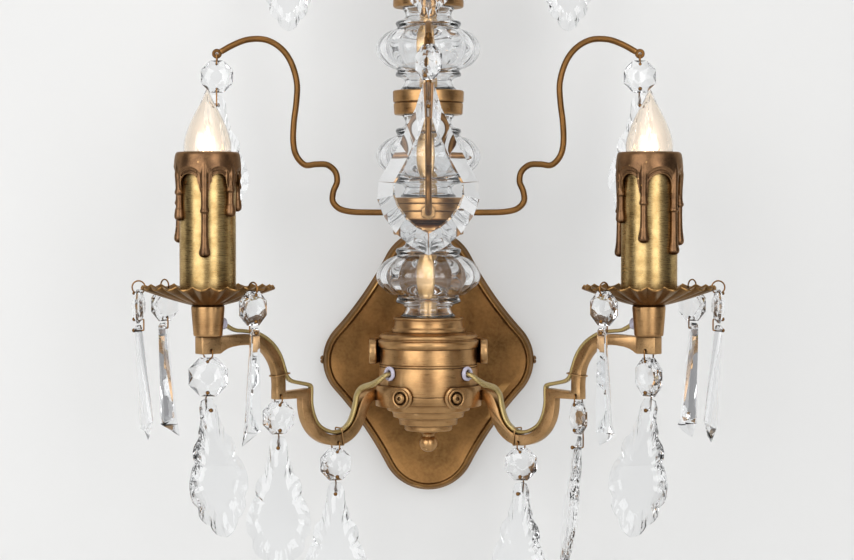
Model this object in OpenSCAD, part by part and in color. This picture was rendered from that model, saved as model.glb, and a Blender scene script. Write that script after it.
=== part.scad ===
// Two-arm wall chandelier: a dished lozenge plate carries a turned brass body,
// a stacked glass column, two candle arms and wire arms hung with cut-glass drops.
// Origin: centre of the plate's back face, on the wall. +Z up, the room lies towards -Y.

/* [Wall plate] */
// Width of the lozenge plate
plate_w = 178; // [150:1:220]
// Height of the lozenge plate
plate_h = 220; // [190:1:260]
// Radius of the plate's left and right corners
plate_side_r = 38; // [30:1:46]
// Radius of the plate's top and bottom corners
plate_top_r = 40; // [32:1:50]
// Radius of the hollow sides between the corners
plate_waist_r = 300; // [200:10:600]
// How far the plate stands off the wall
plate_depth = 22; // [16:0.5:30]
// Thickness of the plate's sheet
plate_sheet = 1.6; // [1:0.1:3]
// Width of the stepped rim
rim_w = 5.5; // [4:0.5:9]
// Length of the wall bracket between its tabs
bracket_l = 150; // [120:1:165]
// Height of the wall bracket
bracket_h = 24; // [18:1:40]
// Thickness of the bracket's steel
bracket_t = 3; // [2:0.5:4]
// Distance between the two wall screws
screw_pitch = 60; // [50:1:90]
// Diameter of a wall screw's hole
screw_hole_d = 5; // [3.5:0.5:7]

/* [Body] */
// Distance from the wall to the body's axis
stand_off = 75; // [68:1:110]
// Radius of the body's drum
body_r = 40; // [34:0.5:50]
// Height of the drum above its lower seam
drum_h = 25; // [20:0.5:40]
// Wall of the turned body
body_wall = 2.5; // [1.5:0.1:4]
// Height of the plain band above the drum
band_h = 12; // [8:0.5:20]
// Height of the body's cover
cover_h = 13; // [8:0.5:20]
// Radius of the glass seat on the cover
seat_r = 28; // [26:0.5:32]
// Height of the glass seat
seat_h = 12; // [8:0.5:18]
// Height of the stepped rings under the drum
cone_h = 30; // [20:0.5:45]
// Diameter of the ball finial under the body
ball_d = 14.5; // [10:0.5:20]
// Thickness of the yoke's strap
yoke_t = 6; // [4:0.5:8]
// Height of the yoke's strap
yoke_h = 20; // [14:0.5:26]

/* [Column] */
// Height of one ribbed glass vase
vase_h = 67; // [55:1:90]
// Largest radius of a vase
vase_r = 42.5; // [36:0.5:50]
// Ribs round a vase
vase_ribs = 12; // [8:1:16]
// Depth of the ribs
rib_depth = 2.4; // [1:0.1:4]
// Height of the lower collar
collar_low_h = 30; // [24:1:40]
// Height of the middle collar
collar_mid_h = 19.5; // [14:0.5:30]
// Radius of the collars
collar_r = 28.5; // [26:0.5:32]
// Radius of the brass tube inside the glass
tube_r = 7.2; // [6:0.1:9]
// Radius of the threaded rod
rod_r = 5; // [4:0.5:5.5]

/* [Arms] */
// Sideways distance from the body's axis to a candle's axis
candle_x = 170; // [160:1:190]
// Angle of an arm forwards from the wall's direction
arm_angle = 35; // [25:1:45]
// Side of the arm's square bar
bar = 8.5; // [7:0.5:11]
// Height of the saddle lug on the body
lug_h = 17; // [14:0.5:22]
// Thickness of the saddle lug
lug_t = 3; // [2:0.5:4]
// Width of the flat twin cable
cable_w = 5.4; // [4:0.2:6]
// Thickness of the flat twin cable
cable_t = 3.2; // [2.6:0.2:4]

/* [Candles] */
// Radius of the socket cup
cup_r = 12.6; // [11:0.2:15]
// Height of the socket cup
cup_h = 24; // [18:1:32]
// Radius of the drip pan
pan_r = 51; // [44:1:60]
// Rise of the drip pan from its centre to its rim
pan_rise = 13.5; // [9:0.5:20]
// Flutes round the drip pan
pan_flutes = 24; // [18:1:30]
// Thickness of the drip pan's sheet
pan_sheet = 1.2; // [0.8:0.1:2]
// Radius of the candle sleeve
sleeve_r = 21.7; // [20.5:0.1:25]
// Wall of the candle sleeve
sleeve_wall = 1; // [0.6:0.1:1.6]
// Height of the candle sleeve
sleeve_h = 112; // [90:1:140]
// Radius of the flame bulb
bulb_r = 17.5; // [14:0.5:18]

/* [Wire arms and drops] */
// Diameter of the wire arms
wire_d = 5; // [4:0.5:6]
// Width across a small octagon bead
bead_d = 26; // [20:0.5:30]
// Width across the beads under the arm ends
bead_large_d = 30; // [22:0.5:32]
// Length of a spear drop
spear_l = 90; // [70:1:110]
// Length of a scalloped pendant
pendant_l = 110; // [90:1:115]
// Length of the small pendants on the upper wires
pendant_small_l = 82; // [60:1:100]
// Length of the pear pendant on the front wire
pear_l = 127; // [110:1:140]
// Diameter of the brass pins
pin_d = 1.2; // [0.8:0.1:1.6]

/* [Hidden] */
$fn = 64;
fit = 0.3;
thread_fit = 0.05;

brass = "#a57c4a";
plate_brass = "#8c6a3a";
sleeve_brass = "#b39a4c";
bronze = "#6b4e33";
wire_bronze = "#8a5f36";
gold_cable = "#c9b26b";
crystal = "#dfe9ec";
steel = "#9a9a9a";

// Heights of the body, measured from the plate's centre
drum_bottom_z = -22.8;
drum_top_z = drum_bottom_z + drum_h;
cover_z = drum_top_z + band_h;
cone_bottom_z = drum_bottom_z - cone_h;
seat_z = cover_z + cover_h;
glass_z = seat_z + seat_h;
collar_low_z = glass_z + vase_h;
vase_mid_z = collar_low_z + collar_low_h;
collar_mid_z = vase_mid_z + vase_h;
vase_up_z = collar_mid_z + collar_mid_h;
collar_up_z = vase_up_z + vase_h;
top_cap_z = collar_up_z + collar_low_h;
top_cap_h = 16;
wire_root_r = 13;
wire_z = collar_low_z + collar_low_h * 0.6;
wire_up_z = collar_up_z + collar_low_h * 0.6;

// The arm's plane starts at the body's side and runs outwards and forwards
arm_x0 = body_r;
arm_cos = cos(arm_angle);
arm_sin = sin(arm_angle);
candle_s = (candle_x - arm_x0) / arm_cos;
candle_y = -stand_off - candle_s * arm_sin;
boss_top_z = 28.5;
boss_h = 13.5;
boss_l = 17;
boss_t = 11;
pan_z = boss_top_z + cup_h;
flute_depth = 0.9;
sleeve_z = pan_z + pan_top((sleeve_r - cup_r) / (pan_r - cup_r)) + fit;
wax_top_z = sleeve_z + sleeve_h + 1.6;
wax_ring_h = 18;
holder_z = pan_z + 2;
holder_h = 89;
bulb_base_h = 26;
bulb_z = holder_z + holder_h - bulb_base_h + 3;
glass_bulb_z = bulb_z + bulb_base_h;

// Centre line of the arm's bar, along the arm's plane and up
bend_route = [[-1, -24], [9, -24], [14, -27], [17.5, -34], [21, -43], [27, -51.5], [35, -56.8],
    [44, -58.3], [54, -56], [63, -50], [69, -41], [71.5, -31], [72, -19]];
arch_route = [[95.5, -20], [95.5, -9], [97.2, 2], [101.5, 11], [108, 18.5], [116.5, 23.5],
    [126, 25.2], [candle_s - 17, 24.5], [candle_s - 11, 24.2], [candle_s - 5, 24.2]];
step_top_z = -15.5;
step_bottom_z = -23;
bend_hole = [42, -59.8];
step_hole = [95.5, -19.6];
boss_hole = [candle_s, 18.2];
stud_r = 3;
hook_hole_r = 1.1;

// Route of a wire arm, outwards and up from the collar's wire hole
wire_route = [[collar_r + 5.5, 0], [48, 0], [62, 0.5], [72, 3], [77.5, 9], [77, 17], [74, 25],
    [75.5, 33], [82, 38.5], [91, 39], [100, 38.5], [107, 46], [109.5, 57], [109, 73], [107, 89],
    [106.5, 105], [111, 121], [119, 132.5], [131, 139.5], [145, 140], [157, 136], [168, 130]];
wire_up_route = [[collar_r + 5.5, 0], [44, 0], [50, 4], [51, 12], [49, 20], [52, 28], [60, 32],
    [68, 36], [71, 46], [70, 58], [71, 72], [78, 84], [90, 89], [102, 86], [110, 80]];

function catmull(a, b, c, d, t) = 0.5 * (2 * b + (c - a) * t + (2 * a - 5 * b + 4 * c - d) * t * t
    + (3 * b - a - 3 * c + d) * t * t * t);
function smooth(p, n) = concat([for (i = [0:len(p) - 2], j = [0:n - 1])
    catmull(p[max(i - 1, 0)], p[i], p[i + 1], p[min(i + 2, len(p) - 1)], j / n)], [p[len(p) - 1]]);
function unit(v) = v / norm(v);
function direction(p, i) = unit(p[min(i + 1, len(p) - 1)] - p[max(i - 1, 0)]);
function arc_points(c, r, a, b, n) = [for (i = [0:n])
    c + r * [cos(a + (b - a) * i / n), sin(a + (b - a) * i / n)]];
function angle_of(v) = atan2(v[1], v[0]);
function mirror_x(p) = [for (i = [len(p) - 1:-1:0]) [-p[i][0], p[i][1]]];

// Closed solid through a list of rings that have the same number of points.
// Each ring runs anticlockwise as seen from the far end.
module loft(rings, closed = false) {
    k = len(rings[0]);
    n = len(rings);
    last = closed ? n - 1 : n - 2;
    sides = [for (i = [0:last], j = [0:k - 1])
        let (m = (i + 1) % n, q = (j + 1) % k)
        [i * k + j, m * k + j, m * k + q, i * k + q]];
    caps = closed ? [] : [[for (j = [0:k - 1]) j], [for (j = [k - 1:-1:0]) (n - 1) * k + j]];
    polyhedron(points = [for (r = rings, p = r) p], faces = concat(sides, caps), convexity = 8);
}

// Rod of an oval section, a wide across the given direction and b thick
module sweep(path, a, b, across, k = 8) {
    loft([for (i = [0:len(path) - 1])
        let (t = direction(path, i), u = unit(across - (across * t) * t), v = cross(t, u))
        [for (j = [0:k - 1]) path[i] + u * a * cos(360 * j / k) + v * b * sin(360 * j / k)]]);
}

// Outline of a strip of the given width along a flat route
function strip(p, w) = concat(
    [for (i = [0:len(p) - 1]) let (t = direction(p, i)) p[i] + w / 2 * [-t[1], t[0]]],
    [for (i = [len(p) - 1:-1:0]) let (t = direction(p, i)) p[i] - w / 2 * [-t[1], t[0]]]);

// Both arms are the same piece, mirrored
module side(s) {
    if (s < 0) mirror([1, 0, 0]) children();
    else children();
}

// Stands a drawing in the arm's plane: x runs along the arm, y runs up
module in_arm_plane() {
    translate([arm_x0, -stand_off, 0]) rotate([0, 0, -arm_angle]) rotate([90, 0, 0]) children();
}

module at_candle(s) { translate([s * candle_x, candle_y, 0]) children(); }
module at_axis() { translate([0, -stand_off, 0]) children(); }

// Tube along a straight line between two points
module pin(a, b, d = pin_d) {
    v = b - a;
    translate(a) rotate([0, acos(v[2] / norm(v)), atan2(v[1], v[0])])
        cylinder(h = norm(v), d = d, $fn = 16);
}

// Wall plate
side_c = [plate_w / 2 - plate_side_r, 0];
top_c = [0, plate_h / 2 - plate_top_r];
waist_c = let (a = plate_waist_r + plate_side_r, b = plate_waist_r + plate_top_r,
    d = norm(top_c - side_c), x = (a * a - b * b + d * d) / (2 * d), e = unit(top_c - side_c))
    side_c + e * x + [e[1], -e[0]] * sqrt(a * a - x * x);
function quarter(inset) = let (a = angle_of(waist_c - side_c), b = angle_of(waist_c - top_c))
    concat(arc_points(side_c, plate_side_r - inset, 0, a, 6),
    arc_points(waist_c, plate_waist_r + inset, a + 180, b + 180, 4),
    arc_points(top_c, plate_top_r - inset, b, 90, 6));
function plate_outline(inset) = let (q = quarter(inset), h = concat(q,
    [for (i = [1:len(q) - 1]) mirror_x(q)[i]]))
    concat(h, [for (i = [len(h) - 2:-1:1]) [h[i][0], -h[i][1]]]);

module plate_layer(inset, near, far) {
    translate([0, -near, 0]) rotate([90, 0, 0]) linear_extrude(far - near)
        polygon(plate_outline(inset));
}

module backplate() {
    color(plate_brass) difference() {
        union() {
            plate_layer(0, 0, plate_depth * 0.3);
            plate_layer(rim_w * 0.25, plate_depth * 0.3, plate_depth * 0.55);
            plate_layer(rim_w * 0.5, plate_depth * 0.55, plate_depth * 0.8);
            plate_layer(rim_w, plate_depth * 0.8, plate_depth);
        }
        plate_layer(plate_sheet, -1, plate_depth * 0.3 - plate_sheet);
        plate_layer(plate_sheet + rim_w * 0.25, 0, plate_depth * 0.55 - plate_sheet);
        plate_layer(plate_sheet + rim_w * 0.5, 0, plate_depth * 0.8 - plate_sheet);
        plate_layer(plate_sheet + rim_w, 0, plate_depth - plate_sheet - 1);
        plate_layer(rim_w + 2.5, plate_depth - 1, plate_depth + 1);
        for (s = [-1, 1]) translate([s * plate_w / 2, -side_screw_y, 0]) rotate([0, 90, 0])
            cylinder(h = 20, d = side_screw_d + 2 * thread_fit, center = true);
        translate([0, -plate_depth, stem_z]) rotate([90, 0, 0])
            cylinder(h = 12, r = nipple_r + thread_fit, center = true);
    }
}

side_screw_d = 4;
side_screw_y = 3.6;
nipple_r = 5;
stem_z = (drum_top_z + cover_z) / 2;
tab_h = 12;
tab_reach = 8;
tab_x = side_c[0] + sqrt(pow(plate_side_r - plate_sheet - rim_w * 0.25 - fit, 2)
    - pow(tab_h / 2, 2));

// Steel strap on the wall, with a tab at each end for the plate's side screws
module wall_bracket() {
    color(steel) difference() {
        union() {
            translate([-bracket_l / 2, -bracket_t, -bracket_h / 2])
                cube([bracket_l, bracket_t, bracket_h]);
            translate([-tab_x, -bracket_t, -tab_h / 2]) cube([2 * tab_x, bracket_t, tab_h]);
            for (s = [-1, 1]) translate([s * (tab_x - bracket_t / 2), -tab_reach / 2, 0])
                cube([bracket_t, tab_reach, tab_h], center = true);
        }
        for (s = [-1, 1]) {
            translate([s * screw_pitch / 2, 1, 0]) rotate([90, 0, 0])
                cylinder(h = bracket_t + 2, d = screw_hole_d);
            translate([s * tab_x, -side_screw_y, 0]) rotate([0, 90, 0])
                cylinder(h = 14, d = side_screw_d + 2 * thread_fit, center = true);
        }
    }
}

module backplate_screws() {
    color(bronze) for (s = [-1, 1]) side(s) translate([plate_w / 2, -side_screw_y, 0])
        rotate([0, 90, 0]) {
        translate([0, 0, -9]) cylinder(h = 9.1, d = side_screw_d);
        difference() {
            translate([0, 0, 0.05]) cylinder(h = 2.2, d1 = 7, d2 = 5);
            translate([-4, -0.5, 1.3]) cube([8, 1, 2]);
        }
    }
}

// Bracket that carries the body: a stem from the plate and a strap with two ears
module yoke() {
    inner = body_r + 2;
    z = stem_z + 3;
    color(brass) {
        difference() {
            union() {
                at_axis() translate([0, 0, z]) difference() {
                    cylinder(h = yoke_h, r = inner + yoke_t, center = true);
                    cylinder(h = yoke_h + 2, r = inner, center = true);
                    translate([-100, -200, -50]) cube([200, 200, 100]);
                }
                for (s = [-1, 1]) translate([s * (inner + yoke_t / 2), -stand_off, z])
                    rotate([0, 90, 0]) cylinder(h = yoke_t, d = yoke_h, center = true);
            }
            translate([0, -stand_off + inner, stem_z]) rotate([90, 0, 0])
                cylinder(h = stand_off - inner, r = nipple_r + thread_fit, center = true);
        }
        difference() {
            union() {
                translate([0, -stand_off + body_r - 2, stem_z]) rotate([-90, 0, 0])
                    cylinder(h = stand_off - body_r + 2 - plate_depth + 8, r = nipple_r);
                translate([0, -plate_depth + 1 - 0.05, stem_z]) rotate([90, 0, 0])
                    cylinder(h = 4, r = 11, $fn = 6);
                translate([0, -plate_depth + plate_sheet + 1.05, stem_z]) rotate([-90, 0, 0])
                    cylinder(h = 4, r = 11, $fn = 6);
            }
            translate([0, -stand_off, stem_z]) rotate([-90, 0, 0])
                cylinder(h = stand_off, r = nipple_r - 1.5);
        }
    }
}

// Turned body
module turned(profile) { at_axis() rotate_extrude() polygon(profile); }

module body_cup() {
    r = body_r;
    d = drum_bottom_z;
    step = cone_h / 5.5;
    color(brass) difference() {
        turned([[0, cone_bottom_z], [r - 21.5, cone_bottom_z], [r - 20.5, cone_bottom_z + 1.5],
            [r - 20.5, cone_bottom_z + 4], [r - 16.5, cone_bottom_z + 5], [r - 16, d - step * 4 + 1],
            [r - 11.5, d - step * 4 + 3], [r - 10.7, d - step * 3 + 1], [r - 6.4, d - step * 3 + 3],
            [r - 5.6, d - step * 2 + 1], [r - 2, d - step * 2 + 3.5], [r - 0.3, d - step * 0.8],
            [r, d - 1.4], [r - 0.7, d - 0.7], [r, d], [r, drum_top_z - 3],
            [r - 0.8, drum_top_z - 2.2], [r, drum_top_z - 1.6], [r - 0.8, drum_top_z - 0.8],
            [r - 0.6, drum_top_z], [r - 0.6, cover_z], [r - body_wall, cover_z],
            [r - body_wall, d - 6], [r - 24, cone_bottom_z + 8], [0, cone_bottom_z + 8]]);
        at_axis() translate([0, 0, cone_bottom_z - 1]) cylinder(h = 20, r = rod_r + thread_fit);
        for (s = [-1, 1]) {
            lug_screw_line(s) cylinder(h = 12, d = lug_screw_d + 2 * thread_fit, center = true);
            bushing_line(s) cylinder(h = 12, r = bushing_r, center = true);
        }
        translate([0, -stand_off + body_r, stem_z]) rotate([90, 0, 0])
            cylinder(h = 12, r = nipple_r + thread_fit, center = true);
    }
}

module body_cover() {
    z = cover_z;
    color(brass) difference() {
        turned([[0, z + 0.05], [body_r - body_wall - fit, z + 0.05], [body_r + 0.6, z + 0.05],
            [body_r + 1.3, z + 1.5], [body_r + 1.3, z + 4.5], [body_r + 0.4, z + 6.2],
            [body_r - 2, z + 6.8], [body_r - 3.2, z + 9.4], [body_r - 6, z + 10.4],
            [seat_r + 4, z + cover_h - 1.6], [seat_r + 3, z + cover_h], [0, z + cover_h]]);
        at_axis() translate([0, 0, z - 1]) cylinder(h = cover_h + 2, r = rod_r + thread_fit);
    }
}

module glass_seat() {
    z = seat_z;
    color(brass) difference() {
        turned([[0, z], [seat_r + 1.6, z], [seat_r + 1.6, z + 3], [seat_r, z + 3.6],
            [seat_r, z + seat_h - 1],
            [seat_r - 1, z + seat_h], [0, z + seat_h]]);
        at_axis() translate([0, 0, z - 1]) cylinder(h = seat_h + 2, r = rod_r + thread_fit);
    }
}

module bottom_finial() {
    z = cone_bottom_z;
    ball_z = z - ball_d / 2 - 3.4;
    color(brass) at_axis() difference() {
        union() {
            rotate_extrude() polygon([[0, z], [9, z], [9, z - 1.4], [6, z - 2.2], [5, z - 4.5],
                [0, z - 4.5]]);
            translate([0, 0, ball_z]) sphere(d = ball_d);
        }
        translate([0, 0, z - 8]) cylinder(h = 9, r = rod_r - 1.5 + thread_fit, $fn = 32);
    }
}

module threaded_rod() {
    color(steel) at_axis() {
        translate([0, 0, cone_bottom_z]) cylinder(h = top_cap_z + 8 - cone_bottom_z, r = rod_r);
        translate([0, 0, cone_bottom_z - 7.5]) cylinder(h = 8, r = rod_r - 1.5);
        translate([0, 0, top_cap_z + 7]) cylinder(h = top_cap_h + 3, r = stud_r);
    }
}

module column_tube() {
    color(brass) at_axis() for (z = [glass_z, vase_mid_z, vase_up_z]) translate([0, 0, z])
        difference() {
        cylinder(h = vase_h, r = tube_r);
        translate([0, 0, -1]) cylinder(h = vase_h + 2, r = rod_r + thread_fit);
    }
}

// Ribbed glass: foot, lower bead, ribbed belly, upper bead, flared neck; hollow all through
foot_r = 22.5;
neck_r = 21;
ring_r = 26.5;
vase_wall = 4;
function vase_outer(h) = [[foot_r, 0], [foot_r - 1, 2], [foot_r - 3.5, h * 0.11],
    [ring_r - 0.5, h * 0.17], [ring_r, h * 0.21], [ring_r - 1.5, h * 0.245], [vase_r - 9, h * 0.29],
    [vase_r - 2, h * 0.39], [vase_r, h * 0.5], [vase_r - 2, h * 0.61], [vase_r - 9, h * 0.71],
    [ring_r - 1.5, h * 0.755], [ring_r, h * 0.79], [ring_r - 0.5, h * 0.83],
    [neck_r - 2.5, h * 0.89], [neck_r, h]];
function vase_inner(h) = [[neck_r - vase_wall, h], [ring_r - 7, h * 0.78], [vase_r - 8, h * 0.58],
    [vase_r - 8, h * 0.42], [ring_r - 7, h * 0.22], [foot_r - vase_wall, 0]];
function rib(r, a) = r
    + rib_depth * (cos(a * vase_ribs) - 1) / 2 * max(0, (r - ring_r) / (vase_r - ring_r));

module vase(z) {
    k = vase_ribs * 4;
    color(crystal) at_axis() translate([0, 0, z])
        loft(concat([for (p = vase_outer(vase_h)) [for (j = [0:k - 1])
        let (a = 360 * j / k, r = rib(p[0], a)) [r * cos(a), r * sin(a), p[1]]]],
        [for (p = vase_inner(vase_h)) [for (j = [0:k - 1]) let (a = 360 * j / k)
        [p[0] * cos(a), p[0] * sin(a), p[1]]]]), closed = true);
}

module vase_lower() { vase(glass_z); }
module vase_middle() { vase(vase_mid_z); }
module vase_upper() { vase(vase_up_z); }

// Brass collars between the glasses; the tall ones hold the wire arms
module wire_line(a, z) {
    at_axis() translate([0, 0, z]) rotate([0, 0, a]) rotate([0, 90, 0]) children();
}

module tall_collar(z) {
    r = collar_r;
    h = collar_low_h;
    color(brass) difference() {
        turned([[0, z], [r - 1, z], [r, z + 1], [r, z + 6], [r - 1.5, z + 8], [r - 7, z + 10.5],
            [r - 1, z + 12], [r, z + 13], [r, z + h - 8], [r - 0.8, z + h - 7.4], [r, z + h - 6.8],
            [r, z + h - 1], [r - 1, z + h], [0, z + h]]);
        at_axis() translate([0, 0, z - 1]) cylinder(h = h + 2, r = rod_r + thread_fit);
        for (a = [0, 180, 270]) wire_line(a, z + h * 0.6) translate([0, 0, wire_root_r - fit])
            cylinder(h = 30, d = wire_d + 2 * fit);
    }
}

module collar_lower() { tall_collar(collar_low_z); }
module collar_upper() { tall_collar(collar_up_z); }

module collar_middle() {
    z = collar_mid_z;
    h = collar_mid_h;
    r = collar_r;
    color(brass) difference() {
        turned([[0, z], [r - 1.5, z], [r - 0.7, z + 1], [r - 0.5, z + h / 2 - 0.8],
            [r - 1.3, z + h / 2], [r, z + h / 2 + 0.8], [r + 0.3, z + h - 1], [r - 0.5, z + h],
            [0, z + h]]);
        at_axis() translate([0, 0, z - 1]) cylinder(h = h + 2, r = rod_r + thread_fit);
    }
}

module top_cap() {
    z = top_cap_z;
    color(brass) difference() {
        turned([[0, z], [collar_r - 3, z], [collar_r - 3, z + 2], [collar_r - 6, z + 4.5],
            [14, z + 8], [9, z + 11], [9, z + top_cap_h], [0, z + top_cap_h]]);
        at_axis() translate([0, 0, z - 1]) cylinder(h = 9, r = rod_r + thread_fit);
        at_axis() translate([0, 0, z]) cylinder(h = top_cap_h + 1, r = stud_r + thread_fit);
    }
}

// Cut-glass finial: eight flat sides that swell and then draw to a point
module top_finial() {
    z = top_cap_z + top_cap_h;
    k = 8;
    color(crystal) at_axis() difference() {
        loft([for (p = [[8, 0], [7, 5], [16, 17], [17.5, 24], [12, 42], [1.2, 66]])
            [for (j = [0:k - 1]) [p[0] * cos(360 * (j + 0.5) / k), p[0] * sin(360 * (j + 0.5) / k),
            z + p[1]]]]);
        translate([0, 0, z - 1]) cylinder(h = 12, r = stud_r + thread_fit);
    }
}

// Arms
lug_angle = 30;
lug_screw_d = 4;
lug_z = -24;
bushing_angle = 49;
bushing_z = -5;
bushing_r = 4.6;
cup_bushing_z = 38;

// A line out of the body's side, at an angle from straight ahead
module body_line(s, a, z, r = body_r) {
    side(s) at_axis() translate([0, 0, z]) rotate([0, 0, a - 90]) translate([r, 0, 0])
        rotate([0, 90, 0]) children();
}
module lug_screw_line(s) { body_line(s, lug_angle, lug_z) children(); }
module bushing_line(s) { body_line(s, bushing_angle, bushing_z) children(); }

module lug() {
    at_axis() translate([0, 0, lug_z]) intersection() {
        difference() {
            cylinder(h = lug_h, r = body_r + lug_t, center = true);
            cylinder(h = lug_h + 2, r = body_r + 0.05, center = true);
        }
        union() {
            translate([0, 0, -lug_h]) linear_extrude(2 * lug_h)
                polygon([[0, 0], 90 * [sin(lug_angle), -cos(lug_angle)], [90, -60], [90, 8]]);
            rotate([0, 0, lug_angle - 90]) rotate([0, 90, 0]) cylinder(h = 90, d = lug_h + 1);
        }
    }
}

module bar_strip(route, n) {
    in_arm_plane() linear_extrude(bar, center = true) polygon(strip(smooth(route, n), bar));
}

module arm(s) {
    color(brass) side(s) difference() {
        union() {
            lug();
            bar_strip(bend_route, 3);
            bar_strip(arch_route, 4);
            in_arm_plane() linear_extrude(bar, center = true)
                polygon([[72 - bar / 2, step_bottom_z], [95.5 + bar / 2, step_bottom_z],
                [95.5 + bar / 2, step_top_z - 1], [95.5 - bar / 2, step_top_z - 2.4],
                [88, step_top_z - 1.5], [72 - bar / 2, step_top_z]]);
            in_arm_plane() linear_extrude(boss_t, center = true)
                polygon([[candle_s - boss_l / 2, boss_top_z - boss_h],
                [candle_s + boss_l / 2, boss_top_z - boss_h], [candle_s + boss_l / 2, boss_top_z],
                [candle_s - boss_l / 2, boss_top_z]]);
        }
        at_axis() translate([0, 0, cone_bottom_z]) cylinder(h = cone_h + drum_h, r = body_r + 0.05);
        lug_screw_line(1) cylinder(h = 20, d = lug_screw_d + 2 * thread_fit, center = true);
        for (p = [bend_hole, step_hole, boss_hole]) in_arm_plane() translate([p[0], p[1], 0])
            cylinder(h = 30, r = hook_hole_r, center = true, $fn = 32);
        translate([candle_x, candle_y, boss_top_z - 7.2]) cylinder(h = 10, r = stud_r + thread_fit);
    }
}

module arm_left() { arm(-1); }
module arm_right() { arm(1); }

module arm_screws() {
    head = body_r + lug_t;
    color(brass) for (s = [-1, 1]) body_line(s, lug_angle, lug_z, 0) {
        translate([0, 0, head - 8]) cylinder(h = 10, d = lug_screw_d);
        translate([0, 0, head + 0.4]) difference() {
            cylinder(h = 2.4, d = 14.5);
            translate([0, 0, 0.9]) cylinder(h = 3, d = 10.5);
        }
        translate([0, 0, head + 1.2]) difference() {
            cylinder(h = 2.6, d1 = 8.5, d2 = 6);
            translate([0, 0, 1.2]) cylinder(h = 3, d = 3.2, $fn = 6);
        }
    }
}

// Flat twin cable: out of the body's bushing, over the arm's top edge and into the socket cup.
// Points are along the arm's plane, out of it towards the room, and up.
bushing_at = let (x = body_r * sin(bushing_angle) - arm_x0, y = body_r * cos(bushing_angle))
    [x * arm_cos + y * arm_sin, y * arm_cos - x * arm_sin];
cable_route = [[bushing_at[0] - 6, bushing_at[1] - 0.5, bushing_z],
    [bushing_at[0], bushing_at[1], bushing_z], [bushing_at[0] + 5.5, bushing_at[1] + 0.5,
    bushing_z - 1], [16.5, 24.5, -10], [18.5, 18, -13.5], [19.5, 10.5, -15.5], [20.5, 4, -18],
    [22, 0.5, -23], [23.5, 0, -31], [26, 0, -39], [30, 0, -46], [37, 0, -51], [44, 0, -52],
    [51.5, 0, -50], [58.5, 0, -45.5], [63, 0, -38], [65.5, 0, -28], [65.5, 0, -18], [66, 0, -14],
    [69, 0, -12.5], [76, 0, -11], [84, 0, -9], [88.5, 0, -5], [90.5, 0, 1], [95, 0, 12.5],
    [102.5, 0, 22], [113.5, 0, 29], [125, 0, 31.5], [candle_s - 24.5, 0, 32.5],
    [candle_s - 19.5, 0, 34.5], [candle_s - 15, 0, 37], [candle_s - 9.5, 0, cup_bushing_z]];
function arm_point(p) = [arm_x0 + p[0] * arm_cos - p[1] * arm_sin,
    -stand_off - p[0] * arm_sin - p[1] * arm_cos, p[2]];

module cable(s) {
    color(gold_cable) side(s) sweep(smooth([for (p = cable_route) arm_point(p)], 2), cable_w / 2,
        cable_t / 2, [-arm_sin, -arm_cos, 0]);
}

module cable_left() { cable(-1); }
module cable_right() { cable(1); }

module cup_bushing_line(s) {
    side(s) translate([candle_x, candle_y, cup_bushing_z]) rotate([0, 0, 180 - arm_angle])
        rotate([0, 90, 0]) children();
}

module cable_bushings() {
    color("#d8d4e4") for (s = [-1, 1]) {
        bushing_line(s) difference() {
            union() {
                translate([0, 0, -4]) cylinder(h = 5, r = bushing_r - thread_fit);
                translate([0, 0, 0.3]) cylinder(h = 2.6, r = bushing_r + 1.2);
            }
            translate([0, 0, -5]) cylinder(h = 12, r = cable_w / 2 + fit, $fn = 32);
        }
        cup_bushing_line(s) difference() {
            translate([0, 0, cup_r - 2.5]) cylinder(h = 5, r = bushing_r - thread_fit);
            translate([0, 0, cup_r - 4]) cylinder(h = 9, r = cable_w / 2 + fit, $fn = 32);
        }
    }
}

// Thin bands that hold the cable to the bar
module tie(p, a) {
    wide = bar + 2 * fit;
    tall = bar + cable_t + 2.5;
    in_arm_plane() translate([p[0], p[1], 0]) rotate([0, 0, a]) difference() {
        translate([-0.6, -wide / 2 - 1, -wide / 2 - 1]) cube([1.2, tall + 2, wide + 2]);
        translate([-1, -wide / 2, -wide / 2]) cube([2, tall, wide]);
    }
}

module cable_ties() {
    color(bronze) for (s = [-1, 1]) side(s) {
        tie([38, -57.7], -8);
        tie([96.3, -4], 81);
    }
}

// Socket cup on the arm's boss, threaded on a short tube
module candle_cup(s) {
    color(brass) at_candle(s) difference() {
        translate([0, 0, boss_top_z]) union() {
            rotate_extrude() polygon([[0, 0.05], [cup_r - 1.6, 0.05], [cup_r - 0.6, 2],
                [cup_r, cup_h - 5], [cup_r + 1.2, cup_h - 3.6], [cup_r + 1.2, cup_h], [0, cup_h]]);
            translate([0, 0, -7]) cylinder(h = 8, r = stud_r);
        }
        translate([0, 0, boss_top_z + 3]) cylinder(h = cup_h - 6, r = cup_r - 3);
        translate([0, 0, pan_z - 3.1]) cylinder(h = 4, r = nipple_r + thread_fit);
        translate([0, 0, cup_bushing_z]) rotate([0, 0, s > 0 ? 180 - arm_angle : arm_angle])
            rotate([0, 90, 0])
            cylinder(h = 20, r = bushing_r);
    }
}

module candle_cups() {
    candle_cup(-1);
    candle_cup(1);
}

// Fluted drip pan, a shallow cone of sheet brass with a scalloped rim
function pan_point(t, a, up) = let (wave = flute_depth * cos(a * pan_flutes),
    r = cup_r + (pan_r - cup_r) * t + t * t * wave)
    [r * cos(a), r * sin(a), pan_rise * (0.8 * t + 0.2 * t * t) + t * wave + up];
function pan_top(t) = pan_point(t, 0, pan_sheet + 0.05)[2];
pan_bore_r = nipple_r + thread_fit;

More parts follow.
